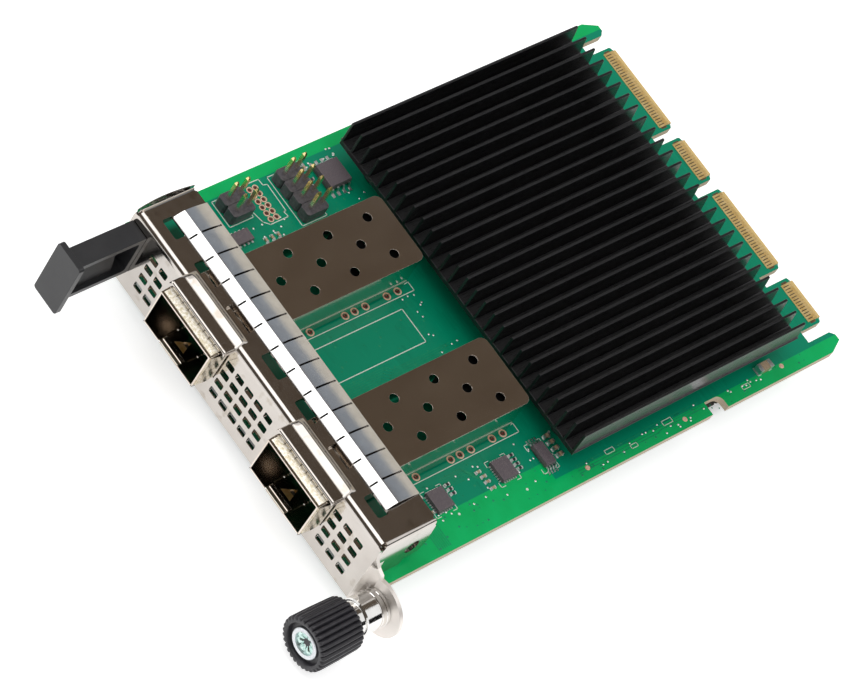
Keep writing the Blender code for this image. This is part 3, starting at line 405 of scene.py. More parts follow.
def ribbon(points, width, high, closed=False):
    """A printed line or a track along a path, in thin flat bars that overlap at its corners."""
    bars = []
    ends = points[1:] + points[:1] if closed else points[1:]
    for start, end in zip(points, ends):
        start, end = Vector(start), Vector(end)
        along = (end - start).normalized() * width / 2
        side = Vector((-along.y, along.x))
        bar = (start - along - side, end + along - side, end + along + side, start - along + side)
        bars.append(prism(bar, -ink_high, high))
    return bars


ink, tree, shader = finish("silk_ink", (0.80, 0.84, 0.78), 0.6)
tint(tree, shader, grain(tree, 0.12, 3.0), (0.55, 0.66, 0.56), (0.84, 0.88, 0.82))
plating, tree, shader = finish("plated_ring", (0.85, 0.50, 0.36), 0.4)
tint(tree, shader, grain(tree, 0.3, 2.0), (0.72, 0.36, 0.24), (0.92, 0.66, 0.52))
# Painted shade: plugs inside the drilled holes are coloured an almost black copper, standing in for the
# shade inside the holes.
barrel_painted_shade, tree, shader = finish("barrel_painted_shade_finish", (0.09, 0.012, 0.006), 0.5)
tint(tree, shader, grain(tree, 0.25, 2.0), (0.05, 0.006, 0.004), (0.16, 0.03, 0.012))
track_green, tree, shader = finish("track_green", (0.004, 0.27, 0.12), 0.25)
tint(tree, shader, grain(tree, 2.0, 2.0), (0.004, 0.24, 0.11), (0.006, 0.32, 0.15))

lines = ribbon([(-35.7, 28.0), (-35.63, 31.95), (-34.32, 32.03), (-34.15, 32.88), (-28.36, 32.76),
                (-28.4, 32.23), (-27.24, 32.49), (-27.21, 28.39), (-28.21, 27.39), (-30.4, 26.91)],
               0.16, ink_high)
lines += ribbon(rectangle(-35.2, -29.7, 21.1, 26.4), 0.16, ink_high, True)
lines += ribbon(rectangle(-35.3, -24.6, 33.7, 39.3), 0.16, ink_high, True)
lines += ribbon(rectangle(-3.57, 3.5, 20.2, 40.25), 0.17, ink_high, True)
for x in (-5.7, 25.0):
    bracket_line = [(x - 1.8, 20.0), (x, 20.0), (x, 44.75), (x - 1.8, 44.75), (x - 1.75, 43.8)]
    lines += ribbon(bracket_line, 0.15, ink_high)
corner_mark = 0.9
for x, y, wide, deep in ((29.75, 37.1, 5.2, 4.6), (29.45, 22.5, 5.2, 4.6), (30.65, 45.55, 6.0, 3.6)):
    for sx in (-1, 1):
        for sy in (-1, 1):
            tip_x, tip_y = x + sx * wide / 2, y + sy * deep / 2
            mark = [(tip_x - sx * corner_mark, tip_y), (tip_x, tip_y), (tip_x, tip_y - sy * corner_mark)]
            lines += ribbon(mark, 0.13, ink_high)
lines.append(prism([(-36.6, 17.6), (-35.4, 17.2), (-36.3, 18.6)], -ink_high, ink_high))
for x, y in ((34.6, 38.9), (33.0, 24.4), (-34.4, 48.3), (27.4, 49.9)):
    lines.append(prism(circle((x, y), 0.25, 12), -ink_high, ink_high))
for x, y, wide, deep in ((35.2, 58.0, 0.8, 2.0), (36.4, 63.0, 0.7, 1.5), (35.3, 72.0, 0.9, 2.2),
                         (36.2, 91.0, 0.8, 1.8)):
    frame_line = rectangle(x - wide / 2, x + wide / 2, y - deep / 2, y + deep / 2)
    lines += ribbon(frame_line, 0.12, ink_high, True)
piece("silk_print", merged(lines), ink)

rings, hole_plugs_painted_shade = [], []
hole_pitch = 1.27
for column in range(6):
    for row in range(2):
        place = (-34.45 + hole_pitch * column, 29.12 + hole_pitch * row, 0.0)
        rings.append(lathe([(0.42, sunk), (0.42, ring_high), (0.60, ring_high), (0.62, sunk)], place, 16,
                           closed=True))
        hole_plugs_painted_shade.append(lathe([(0.0, -0.12), (0.43, -0.12), (0.43, -0.5), (0.0, -0.5)], place, 16))
leg_ys = [cage_rear - setback for setback in (1.65, 4.15, 9.1, 11.6, 13.75, 21.7)]
for x in port_xs:
    for side in (-1, 1):
        for y in leg_ys:
            place = (x + side * (cage_half + 0.02), y, 0.0)
            rings.append(lathe([(0.50, sunk), (0.50, ring_high), (0.74, ring_high), (0.77, sunk)], place,
                               20, closed=True))
            hole_plugs_painted_shade.append(lathe([(0.0, -0.08), (0.52, -0.08), (0.52, -0.5), (0.0, -0.5)], place, 16))
for x, y in ((-35.9, 12.6), (36.1, 52.0), (36.4, 75.5), (35.9, 100.4)):
    rings.append(lathe([(0.0, ring_high), (0.45, ring_high), (0.5, sunk), (0.0, sunk)], (x, y, 0.0), 16))
piece("plated_rings", merged(rings), plating)
piece("hole_plugs_painted_shade_piece", merged(hole_plugs_painted_shade), barrel_painted_shade)

vias = []
draw = np.random.default_rng(11)
via_grid = 0.635
fields = ((-6.0, 9.3, 14.5, 45.5, 70), (25.6, 37.2, 14.5, 46.0, 60), (-37.2, -21.6, 14.5, 46.0, 60),
          (34.6, 37.4, 48.0, 108.0, 46), (-37.6, -34.6, 48.0, 108.0, 40), (-34.0, 34.0, 104.0, 108.3, 60))
for left, right, front, rear, count in fields:
    for _ in range(count):
        x, y = draw.uniform(left, right), draw.uniform(front, rear)
        x, y = round(x / via_grid) * via_grid, round(y / via_grid) * via_grid
        radius = 0.16 + 0.1 * (draw.random() < 0.3)
        cap = [(0.0, track_high), (radius * 0.7, track_high * 1.4), (radius, sunk), (0.0, sunk)]
        vias.append(lathe(cap, (x, y, 0.0), 10))
for row in range(5):
    for column in range(7):
        vias.append(lathe([(0.0, 0.03), (0.17, 0.03), (0.2, sunk), (0.0, sunk)],
                          (6.2 + 0.9 * column, 12.9 + 1.27 * row + 29.2 * (column > 3), 0.0), 10))
tracks = []
track_width = 0.14
for i in range(7):
    y = 15.2 + 0.42 * i
    path = [(25.4, y), (27.0 + 0.1 * i, y), (28.6 + 0.1 * i, y + 1.6), (37.0, y + 1.6)]
    tracks += ribbon(path, track_width, track_high)
for i in range(6):
    x = 26.2 + 0.4 * i
    path = [(x, 25.2), (x, 30.0 + 0.2 * i), (x + 1.6, 31.6 + 0.2 * i), (x + 1.6, 34.6)]
    tracks += ribbon(path, track_width, track_high)
for i in range(8):
    x = -5.2 + 0.45 * i
    path = [(x, 14.4), (x, 16.2 + 0.3 * i), (x + 1.2, 17.4 + 0.3 * i), (x + 1.2, 19.4)]
    tracks += ribbon(path, track_width, track_high)
for i in range(8):
    x = 4.4 + 0.42 * i
    path = [(x, 15.5), (x, 30.0 - 0.5 * i), (x + 1.0, 31.0 - 0.5 * i), (x + 1.0, 45.8)]
    tracks += ribbon(path, track_width - 0.01, track_high)
for i in range(5):
    y = 40.6 + 0.4 * i
    path = [(-24.2, y), (-22.8, y), (-21.4, y + 1.4), (-21.2, 46.4)]
    tracks += ribbon(path, track_width, track_high)
for i in range(4):
    x = 34.9 + 0.5 * i
    path = [(x, 50.0), (x, 66.0 + i), (x - 0.3, 67.0 + i), (x - 0.3, 80.0)]
    tracks += ribbon(path, track_width, track_high)
piece("via_caps", merged(vias), track_green)
piece("tracks", merged(tracks), track_green)

# Card edge: gold-plated contact fingers at 0.6 mm pitch on both faces of the tongue, in four banks.
# Dark laminate shows between them at the front, and a plated rim runs along the chamfered tip.
gold, tree, shader = finish("gold_plate", (0.80, 0.55, 0.20), 0.42, 1.0)
tint(tree, shader, grain(tree, 1.2, 2.0), (0.86, 0.58, 0.20), (1.0, 0.78, 0.40))
dent(tree, shader, grain(tree, 0.2, 2.0), 0.003)
for face in ("top", "bottom"):
    for bank in range(1, 5):
        cover(f"edge_contacts_{face}_{bank}", gold)
rim_gold, tree, shader = finish("edge_rim", (0.72, 0.50, 0.18), 0.5)
tint(tree, shader, grain(tree, 0.3, 2.0), (0.66, 0.44, 0.14), (0.80, 0.58, 0.24))
under_gold, tree, shader = finish("contact_gap", (0.10, 0.06, 0.02), 0.5)
tint(tree, shader, grain(tree, 0.4, 2.0), (0.06, 0.035, 0.012), (0.16, 0.09, 0.03))
tongues = ((-31.75, -12.8), (-10.6, -0.8), (1.4, 19.7), (21.9, 32.0))
gap_front, gap_rear, tip_rear = 112.0, 113.3, 114.65
tips, gaps = [], []
for left, right in tongues:
    for low, high in ((-0.01, 0.02), (-board_thick - 0.02, -board_thick + 0.01)):
        tips.append(box(left + 0.9, right - 0.9, gap_rear - 0.05, tip_rear, low, high))
        gaps.append(box(left + 0.5, right - 0.5, gap_front, gap_rear, low, high - 0.005))
    tips.append(box(left + 0.9, right - 0.9, tip_rear + 0.01, tip_rear + 0.07, -board_thick + 0.25, -0.25))
piece("edge_tips", merged(tips), rim_gold)
piece("contact_gaps", merged(gaps), under_gold)

# Insulating film: a thin smooth sheet of black polymer, die-cut and glued under the board. It covers
# the soldered ends of the pins and legs.
film, tree, shader = finish("film", (0.02, 0.02, 0.02), 0.45)
tint(tree, shader, grain(tree, 12.0, 2.0), (0.014, 0.014, 0.015), (0.03, 0.03, 0.03))
dent(tree, shader, grain(tree, 8.0, 2.0), 0.05)
cover("insulating_film", film)

# Controller package: a laminate substrate soldered to the board, with a nickel-plated copper lid. A
# soft grey heat pad lies between the lid and the heat sink.
lid_metal, tree, shader = finish("lid_nickel", (0.68, 0.68, 0.70), 0.3, 1.0)
tint(tree, shader, grain(tree, 3.0), (0.60, 0.60, 0.62), (0.72, 0.72, 0.74))
pad_grey, tree, shader = finish("heat_pad", (0.33, 0.36, 0.42), 0.7)
tint(tree, shader, grain(tree, 0.4, 4.0), (0.28, 0.31, 0.37), (0.38, 0.41, 0.46))
cover("controller_substrate", track_green)
cover("controller_lid", lid_metal)
cover("thermal_pad", pad_grey)

# Heat sink: an aluminium extrusion of 27 tall thin fins, sawn to length, milled on a slope at the rear
# and black anodised. Four posts and a pedestal under its base stand on the board and the controller.
sink_front, sink_rear, sink_slope = 47.0, 101.2, 1.6
sink_base_low, sink_base_top, fin_top = 4.8, 5.8, 10.9
fin_step, fin_count, fin_thick = 2.6, 27, 0.45
sink_middle, sink_half = 0.1, 34.05
post_places = ((-27.4, 53.0), (27.6, 53.0), (-27.4, 95.5), (27.6, 95.5))


def vary_gloss(tree, shader, share, low, high):
    """Roughness that runs from low to high."""
    rough = wire(tree, "MapRange", {"Value": share, "To Min": low, "To Max": high}).outputs[0]
    tree.links.new(rough, shader.inputs["Roughness"])


anodised, tree, shader = finish("black_anodised", (0.007, 0.007, 0.008), 0.3, 0.0, Coat_Weight=0.15,
                                Coat_Roughness=0.2)
shade = grain(tree, 5.0, 2.0)
tint(tree, shader, shade, (0.004, 0.004, 0.005), (0.009, 0.009, 0.010))
drawn = grain(tree, 0.10, 2.0, (1.0, 0.04, 1.0))
vary_gloss(tree, shader, drawn, 0.24, 0.40)
dent(tree, shader, drawn, 0.004)
shapes = [prism(((sink_front, sink_base_low), (sink_rear + sink_slope, sink_base_low),
                 (sink_rear + sink_slope - 0.3, sink_base_top), (sink_front, sink_base_top)),
                sink_middle - sink_half, sink_middle + sink_half, "X")]
for i in range(fin_count):
    x = sink_middle + fin_step * (i - (fin_count - 1) / 2)
    fin = [(sink_front, sink_base_top - 0.15), (sink_rear + sink_slope - 0.35, sink_base_top - 0.15),
           (sink_rear, fin_top), (sink_front, fin_top)]
    shapes.append(prism(fin, x - fin_thick / 2, x + fin_thick / 2, "X"))
    root = fin_thick / 2 + 0.28
    for side in (-1, 1):
        foot = [(x + side * 0.1, sink_base_top - 0.1), (x + side * root, sink_base_top - 0.1),
                (x + side * root, sink_base_top + 0.02),
                (x + side * (fin_thick / 2 + 0.08), sink_base_top + 0.1),
                (x + side * fin_thick / 2, sink_base_top + 0.3), (x + side * 0.1, sink_base_top + 0.3)]
        shapes.append(prism(foot, sink_front + 0.05, sink_rear + sink_slope - 0.5, "Y"))
piece("finned_sink", merged(shapes), anodised, edge=0.07, replaces=("heat_sink",))
posts = []
for x, y in post_places:
    posts.append(lathe([(1.3, 0.1), (2.45, 0.1), (2.6, 0.3), (2.6, sink_base_low + 0.1),
                        (1.3, sink_base_low + 0.1)], (x, y, 0.0), 32, closed=True))
posts.append(box(sink_middle - 12.5, sink_middle + 12.5, 61.5, 86.5, 3.5, sink_base_low + 0.05))
piece("sink_posts", merged(posts), anodised, edge=0.12)

# Heat sink and bracket screws: zinc-plated steel with cut threads and low round heads with a socket.
# They are driven from under the board into the posts and feet.
zinc, tree, shader = finish("zinc_steel", (0.62, 0.62, 0.64), 0.3, 1.0)
tint(tree, shader, grain(tree, 0.5), (0.52, 0.52, 0.54), (0.68, 0.68, 0.70))
screw_names = [f"heat_sink_screw_{number}" for number in range(1, 5)]
screw_names += ["bracket_screw_left", "bracket_screw_right"]
thread_pitch = 0.45
for name in screw_names:
    low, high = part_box(name)
    x, y = 500.0 * (low.x + high.x), 500.0 * (low.y + high.y)
    top = 1000.0 * high.z
    head, neck = 1000.0 * low.z, 1000.0 * low.z + 1.2
    turned = [(0.0, head + 0.65), (0.75, head + 0.65), (0.85, head), (1.75, head), (2.05, head + 0.25),
              (2.1, neck), (1.1, neck)]
    thread = neck
    while thread < top - 0.5:
        turned += [(1.1, thread + 0.05), (0.95, thread + 0.25), (1.1, thread + thread_pitch)]
        thread += thread_pitch
    turned += [(0.8, top), (0.0, top)]
    piece(name + "_turned", lathe(turned, (x, y, 0.0), 28), zinc, replaces=(name,),
          sharp=28.0)

# Transceiver cages: stamped copper-alloy sheet, folded into a box with a springing latch tongue in the
# floor, round vents in the top and solder legs through the board. A black moulded connector fills the
# rear of each.
cage_front, cage_top, cage_low, cage_thick, cage_round = -4.9, 9.6, 0.6, 0.3, 1.4


def plate(outlines, low, high, across="Z"):
    """A flat sheet in millimetres, from its outline and the outlines of any holes in it."""
    curve = bpy.data.curves.new("outline", "CURVE")
    curve.dimensions = "2D"
    curve.fill_mode = "BOTH"
    curve.extrude = (high - low) / 2
    for points in outlines:
        spline = curve.splines.new("POLY")
        spline.points.add(len(points) - 1)
        for spot, (u, v) in zip(spline.points, points):
            spot.co = (u, v, 0.0, 1.0)
        spline.use_cyclic_u = True
    holder = add_object("outline", curve)
    bpy.context.view_layer.update()
    filled = holder.evaluated_get(bpy.context.evaluated_depsgraph_get())
    mesh = bpy.data.meshes.new_from_object(filled)
    bpy.data.objects.remove(holder)
    bpy.data.curves.remove(curve)
    shape = bmesh.new()
    shape.from_mesh(mesh)
    bpy.data.meshes.remove(mesh)
    bmesh.ops.remove_doubles(shape, verts=shape.verts, dist=0.0005)
    shape.transform(Matrix.Translation((0.0, 0.0, (low + high) / 2)))
    if across == "Y":
        shape.transform(Matrix(((1, 0, 0, 0), (0, 0, 1, 0), (0, 1, 0, 0), (0, 0, 0, 1))))
    elif across == "X":
        shape.transform(Matrix(((0, 0, 1, 0), (1, 0, 0, 0), (0, 1, 0, 0), (0, 0, 0, 1))))
    bmesh.ops.recalc_face_normals(shape, faces=shape.faces)
    return shape


def cage_path(x, inset, front):
    """A cage's outline from above, from its front right corner round the rear, with rounded rear corners."""
    half, rear, radius = cage_half - inset, cage_rear - inset, cage_round - inset
    right = circle((x + half - radius, rear - radius), radius, 8, 0.0, 90.0)
    left = circle((x - half + radius, rear - radius), radius, 8, 90.0, 180.0)
    return [(x + half, front)] + right + left + [(x - half, front)]


def slot_outline(x, y, length, width, turn=0.0, steps=7):
    """A slit with round ends, along Y before it is turned."""
    half = length / 2 - width / 2
    points = circle((0.0, half), width / 2, steps, 0.0, 180.0)
    points += circle((0.0, -half), width / 2, steps, 180.0, 360.0)
    spin = Matrix.Rotation(math.radians(turn), 2)
    return [tuple(spin @ Vector(point) + Vector((x, y))) for point in points]


cage_sheet, tree, shader = finish("cage_sheet", (0.70, 0.62, 0.54), 0.11, 1.0)
cloud = grain(tree, 7.0, 2.0, (1.0, 0.5, 1.0))
tint(tree, shader, cloud, (0.64, 0.565, 0.49), (0.76, 0.69, 0.61))
rolled = grain(tree, 0.10, 3.0, (1.0, 0.06, 1.0))
vary_gloss(tree, shader, rolled, 0.07, 0.12)
dent(tree, shader, rolled, 0.00025)
vent_side, vent_step, vent_radius = 3.95, 9.0, 0.9
for number, x in enumerate(port_xs, 1):
    inner, outer = cage_path(x, cage_thick, cage_front), cage_path(x, 0.0, cage_front)
    walls = plate([outer + inner[::-1]], cage_low, cage_top - cage_thick + 0.02)
    vents = [circle((x + side * vent_side, cage_rear - 4.9 - vent_step * i), vent_radius)
             for side in (-1, 1) for i in range(3)]
    vents += [circle((x, cage_rear - 9.4 - vent_step * i), vent_radius) for i in range(3)]
    top = plate([outer] + vents, cage_top - cage_thick, cage_top)
    latch = [(x - 1.3, -2.5), (x + 1.3, -2.5), (x + 0.2, 0.1)]
    front = [(x - cage_half, cage_front), (x - 2.7, cage_front), (x - 2.7, -3.2), (x + 2.7, -3.2),
             (x + 2.7, cage_front), (x + cage_half, cage_front), (x + cage_half, 12.0),
             (x - cage_half, 12.0)]
    cuts = [slot_outline(x + side * 2.85, -0.9, 3.8, 0.3) for side in (-1, 1)] + [latch]
    base = plate([front] + cuts, cage_low, cage_low + cage_thick)
    lip = plate([[(-3.15, cage_low + 0.3), (-3.15, cage_low), (-3.8, 0.42), (-4.25, -0.05), (-4.5, 0.0),
                  (-4.15, 0.62), (-3.8, 0.82)]], x - 2.6, x + 2.6, "X")
    legs = [box(x + side * 6.85 - 0.15, x + side * 6.85 + 0.15, y - 0.3, y + 0.3, -1.9, cage_low + 0.1)
            for side in (-1, 1) for y in leg_ys]
    piece(f"cage_{number}_sheet", merged([walls, top, base, lip] + legs), cage_sheet,
          edge=0.14, steps=3, replaces=(f"sfp_cage_{number}",))
    backing = [(x - 1.5, -2.7), (x + 1.5, -2.7), (x + 1.1, -1.2), (x + 0.4, 0.3), (x, 0.3), (x - 1.1, -1.6)]
    piece(f"cage_{number}_latch_backing", plate([backing], cage_low - 0.25, cage_low - 0.1), gold,
          edge=0.05)
black_moulding, tree, shader = finish("connector_black", (0.02, 0.02, 0.022), 0.4)
tint(tree, shader, grain(tree, 0.8), (0.015, 0.015, 0.016), (0.03, 0.03, 0.032))
dent(tree, shader, grain(tree, 0.2, 3.0), 0.01)
for number in (1, 2):
    cover(f"host_connector_{number}", black_moulding)

# Spring collars: beryllium-copper strip with fingers that bulge outward, clipped round each cage mouth
# so that it touches the hood and the faceplate.
collar_front, collar_rear, collar_thick, collar_bulge = -4.5, -0.4, 0.12, 0.18
collar_gold, tree, shader = finish("collar_sheet", (0.80, 0.74, 0.62), 0.22, 1.0)
tint(tree, shader, grain(tree, 0.5, 2.0), (0.66, 0.58, 0.42), (0.90, 0.86, 0.78))


def cut_along(shape, normal, levels):
    """Extra edge loops across a sheet at each level, so that it can be bent there."""
    normal = Vector(normal)
    for level in levels:
        everything = list(shape.verts) + list(shape.edges) + list(shape.faces)
        bmesh.ops.bisect_plane(shape, geom=everything, dist=0.00001, plane_co=normal * level,
                               plane_no=normal)


def bend_sheet(shape, place):
    """Moves every point of a flat sheet to the place that a function gives for it."""
    for corner in shape.verts:
        corner.co = place(*corner.co)
    bmesh.ops.recalc_face_normals(shape, faces=shape.faces)
    return shape


def bulge(u, v, w):
    along = (v - collar_front) / (collar_rear - collar_front)
    rise = collar_bulge * math.sin(math.pi * min(1.0, max(0.0, along)))
    return Vector((u, v, w + rise))


for number, x in enumerate(port_xs, 1):
    sides = []
    for turn, span, count, middle in ((0, 13.4, 9, (x, 9.62)), (90, 8.0, 4, (x + 7.02, 5.1)),
                                      (-90, 8.0, 4, (x - 7.02, 5.1)), (180, 13.4, 9, (x, 0.58))):
        outline = rectangle(-span / 2, span / 2, collar_front, collar_rear)
        pitch = span / count
        holes = [slot_outline(-span / 2 + pitch * i, collar_rear - 1.75, 2.3, 0.17, 12.0, 5)
                 for i in range(1, count)]
        strip = plate([outline] + holes, 0.0, collar_thick)
        cut_along(strip, (0.0, 1.0, 0.0), np.linspace(collar_front + 0.3, collar_rear - 0.3, 7))
        bend_sheet(strip, bulge)
        spin = Matrix.Rotation(math.radians(turn), 4, "Y")
        strip.transform(Matrix.Translation((middle[0], 0.0, middle[1])) @ spin)
        sides.append(strip)
    piece(f"collar_{number}_fingers", merged(sides), collar_gold, sharp=40.0,
          replaces=(f"cage_collar_{number}",))

# Faceplate: one blank of stainless sheet 0.7 mm thick, punched with vents and windows, then folded back
# into a flange along its top and down again into two side walls with feet. An offset ear at its right
# holds the thumbscrew.
sheet_thick, fold_radius, face_half = 0.7, 1.2, 35.2
face_low, fold_low, flange_top, flange_rear = -5.5, 9.2, 10.4, 12.4
fold_start = fold_low - face_low
flange_start = fold_start + fold_radius * math.pi / 2
blank_rear = flange_start + flange_rear - fold_radius
ear_middle, ear_round, ear_back = (39.5, -3.3), 5.7, 2.2
crease, joggle_end = 35.3, 37.1
tab_x, tab_slot, port_half = -32.7, (5.59, 11.71), 7.15

sheet_steel, tree, shader = finish("sheet_steel", (0.59, 0.55, 0.51), 0.12, 1.0)
cloud = grain(tree, 9.0, 3.0)
tone = blend_colours(tree, cloud, (0.54, 0.50, 0.46), (0.63, 0.59, 0.55))
stain = above(tree, grain(tree, 3.5, 4.0), 0.86, 0.12)
tone = blend_colours(tree, stain, tone, (0.49, 0.44, 0.385))
rolled = grain(tree, 0.12, 3.0, (0.05, 1.0, 1.0))
rough = wire(tree, "MapRange", {"Value": rolled, "To Min": 0.08, "To Max": 0.14}).outputs[0]
axes = wire(tree, "SeparateXYZ", {0: place_of(tree)}).outputs
# Painted highlight: right of the crease, on the joggle and the ear, the sheet is coloured much paler than
# elsewhere; the same zone is also made rougher.
ear_rough_and_painted_light = combine(tree, "MULTIPLY", above(tree, axes[0], crease, 0.08),
                  below(tree, axes[2], 4.7))
ear_rough_and_painted_light = combine(tree, "MULTIPLY", ear_rough_and_painted_light, below(tree, axes[1], 3.1))
tint(tree, shader, ear_rough_and_painted_light, tone, (0.86, 0.81, 0.765))
rough = combine(tree, "MAXIMUM", rough, combine(tree, "MULTIPLY", ear_rough_and_painted_light, 0.42))
tree.links.new(rough, shader.inputs["Roughness"])
dent(tree, shader, rolled, 0.00025)


def window_outline(x0, x1, y0, y1, corner=0.3, steps=4):
    """A punched rectangle with rounded corners."""
    points = []
    for cx, cy, start in ((x1 - corner, y1 - corner, 0), (x0 + corner, y1 - corner, 90),
                          (x0 + corner, y0 + corner, 180), (x1 - corner, y0 + corner, 270)):
        points += circle((cx, cy), corner, steps, start, start + 90)
    return points


def fold_face(x, s, t):
    """The blank's place after folding into face, bend and flange, t behind its outside."""
    if s <= fold_start:
        along = min(1.0, max(0.0, (x - crease) / (joggle_end - crease)))
        back = ear_back * along
        return Vector((x, t + back, face_low + s))
    if s <= flange_start:
        turn = (s - fold_start) / fold_radius
        arm = fold_radius - t
        return Vector((x, fold_radius - arm * math.cos(turn), fold_low + arm * math.sin(turn)))
    return Vector((x, fold_radius + s - flange_start, flange_top - t))


side_round = 0.8
side_start = face_half - side_round
outline = [(-face_half, 0.0), (face_half + 0.1, 0.0)]
outline += circle((ear_middle[0], ear_middle[1] - face_low), ear_round, 40, 228.0, 472.0)
outline += [(37.2, 7.9), (36.3, 10.0), (35.5, 12.4), (face_half, 14.5), (face_half, 15.2),
            (side_start, 15.3), (side_start, blank_rear - 0.4), (side_start - 0.4, blank_rear),
            (-side_start + 0.4, blank_rear), (-side_start, blank_rear - 0.4), (-side_start, 15.3),
            (-face_half, 15.2)]
holes = [circle((ear_middle[0], ear_middle[1] - face_low), 3.3, 40)]
columns = [-27.4, -24.7] + [-5.2 + 2.7 * i for i in range(5)] + [25.5 + 2.9 * i for i in range(3)]
for x in columns:
    for z in (5.95, 3.25, 0.55, -2.15):
        s = z - face_low
        holes.append(window_outline(x - 1.0, x + 1.0, s - 0.75, s + 0.75, 0.28))
windows = ((-31.8, -27.6), (-22.6, -17.2), (-13.4, -7.6), (-3.2, 1.9), (6.4, 11.2), (15.8, 20.6),
           (26.0, 30.4))
for left, right in windows:
    s = flange_start - fold_radius
    holes.append(window_outline(left, right, s + 3.0, s + 5.4, 0.5, 5))
for x in port_xs:
    holes.append(rectangle(x - port_half, x + port_half, 5.75, 15.5))
holes.append(rectangle(tab_x - 1.16, tab_x + 1.16, *tab_slot))
blank = plate([outline] + holes, -sheet_thick, 0.0)
cut_along(blank, (0.0, 1.0, 0.0), np.linspace(fold_start, flange_start, 9))
cut_along(blank, (1.0, 0.0, 0.0), (crease, joggle_end))
bend_sheet(blank, lambda x, s, t: fold_face(x, s, -t))
sheets = [blank]


def wall_sheet(side, lean):
    """A side wall with a hole, bent down from the flange. lean is how far it leans out below."""
    arc_length = side_round * math.pi / 2
    drop = arc_length + flange_top - side_round
    flap = [(1.5, 0.0), (flange_rear - 0.4, 0.0), (flange_rear, 0.4), (flange_rear, arc_length + 0.4),
            (12.8, drop - 8.6), (12.8, drop - 3.8), (11.9, drop - 1.7), (8.5, drop - 1.7),
            (8.4, drop - 0.06), (3.8, drop - 0.06), (3.7, drop - 1.7), (0.5, drop - 2.6), (0.35, drop - 7.6),
            (0.95, arc_length + 0.5), (1.2, arc_length)]
    shape = plate([flap, circle((9.2, drop - 4.7), 1.5, 28)], -sheet_thick, 0.0)
    cut_along(shape, (0.0, 1.0, 0.0), np.linspace(0.0, arc_length, 7))

    def fold_wall(y, w, t):
        t = -t
        if w <= arc_length:
            turn = w / side_round
            arm = side_round - t
            return Vector((side * (side_start + arm * math.sin(turn)), y,
                           flange_top - side_round + arm * math.cos(turn)))
        out = lean * (w - arc_length) / (drop - arc_length)
        return Vector((side * (face_half + out - t), y, drop - w))

    return bend_sheet(shape, fold_wall)


for side, lean in ((-1, 0.0), (1, 0.65)):
    sheets.append(wall_sheet(side, lean))
    inner = side * (face_half - 6.0)
    outer = side * (face_half + lean - 0.35)
    foot = rectangle(min(inner, outer), max(inner, outer), 3.8, 8.4)
    sheets.append(plate([foot, circle((side * 31.5, 6.1), 1.25, 24)], 0.06, 0.06 + sheet_thick))
piece("folded_faceplate", merged(sheets), sheet_steel, edge=0.07, sharp=40.0,
      replaces=("front_bracket",))

# Hoods: the sheet over each port is pressed up into a shallow bead and runs forward over the cage mouth
# as a flat ledge with a turned lip. Its ends are rounded by the press.
hood_half, hood_reach, hood_ledge = 7.8, -2.6, 10.38
hood_stations = (0.0, 5.0, 5.8, 6.4, 6.85, 7.2, 7.5, 7.72, hood_half)


def hood_profile(rise, fall):
    """The hood's section, outside first. rise is the bead's height and fall the drop at an end."""
    ledge = hood_ledge - fall
    bead = ((3.0, -0.1), (2.6, 0.02), (2.25, 0.16), (1.95, 0.34), (1.7, 0.45), (1.45, 0.49), (1.3, 0.47),
            (1.2, 0.42), (0.45, 0.09), (0.3, 0.03), (0.15, 0.0))
    outside = [(y, flange_top + min(drop, 0.0) - 0.6 * fall + max(drop, 0.0) * rise) for y, drop in bead]
    outside += [(-0.1, ledge), (-0.3, ledge), (hood_reach + 0.6, ledge), (hood_reach + 0.4, ledge),
                (hood_reach + 0.25, ledge - 0.03), (hood_reach + 0.1, ledge - 0.12),
                (hood_reach, ledge - 0.3), (hood_reach, ledge - 0.56)]
    inside = [(hood_reach + 0.25, ledge - 0.56), (hood_reach + 0.3, ledge - 0.4), (0.6, 9.9 - fall),
              (3.0, 9.75 - fall)]
    return outside + inside


for number, x in enumerate(port_xs, 1):
    rings = []
    for offset in [-station for station in hood_stations[:0:-1]] + list(hood_stations):
        reach = min(1.0, (hood_half - abs(offset)) / 1.6)
        rise = 1.0 - (1.0 - reach) ** 2.2
        fall = 0.5 * max(0.0, 1.0 - (hood_half - abs(offset)) / 0.35) ** 2
        rings.append([(x + offset, y, z) for y, z in hood_profile(rise, fall)])
    piece(f"hood_{number}", skin(rings), sheet_steel, sharp=50.0)

# Spring strips: polished strips of springy sheet, arched and slit into fingers, spot-welded on the
# flange and clipped on the left wall. They press on the server's metalwork.
strip_left, strip_right, strip_front, strip_crown, strip_rear = -31.4, 29.7, 5.05, 7.3, 12.5
strip_thick, strip_rise, strip_base = 0.14, 0.86, 10.44
fingers = 13
spring_sheet, tree, shader = finish("spring_sheet", (0.86, 0.85, 0.84), 0.14, 1.0)
tint(tree, shader, grain(tree, 2.5, 2.0), (0.80, 0.79, 0.78), (0.90, 0.89, 0.88))
polish = grain(tree, 0.08, 3.0, (0.08, 1.0, 1.0))
vary_gloss(tree, shader, polish, 0.10, 0.20)
dent(tree, shader, polish, 0.0008)
pitch = (strip_right - strip_left) / fingers
outline = [(strip_left + 0.15, strip_front), (strip_right - 0.15, strip_front),
           (strip_right, strip_front + 0.15), (strip_right, strip_rear), (strip_left, strip_rear),
           (strip_left, strip_front + 0.15)]
slits = []
for i in range(1, fingers):
    x = strip_left + pitch * i
    slits.append(window_outline(x - 0.17, x + 0.17, strip_front + 0.05, strip_front + 1.6, 0.16, 5))
    slits.append(window_outline(x - 0.17, x + 0.17, strip_crown + 0.15, strip_rear - 0.25, 0.16, 5))
strip = plate([outline] + slits, 0.0, strip_thick)
cut_along(strip, (0.0, 1.0, 0.0), np.linspace(strip_front + 0.2, strip_crown - 0.05, 8))
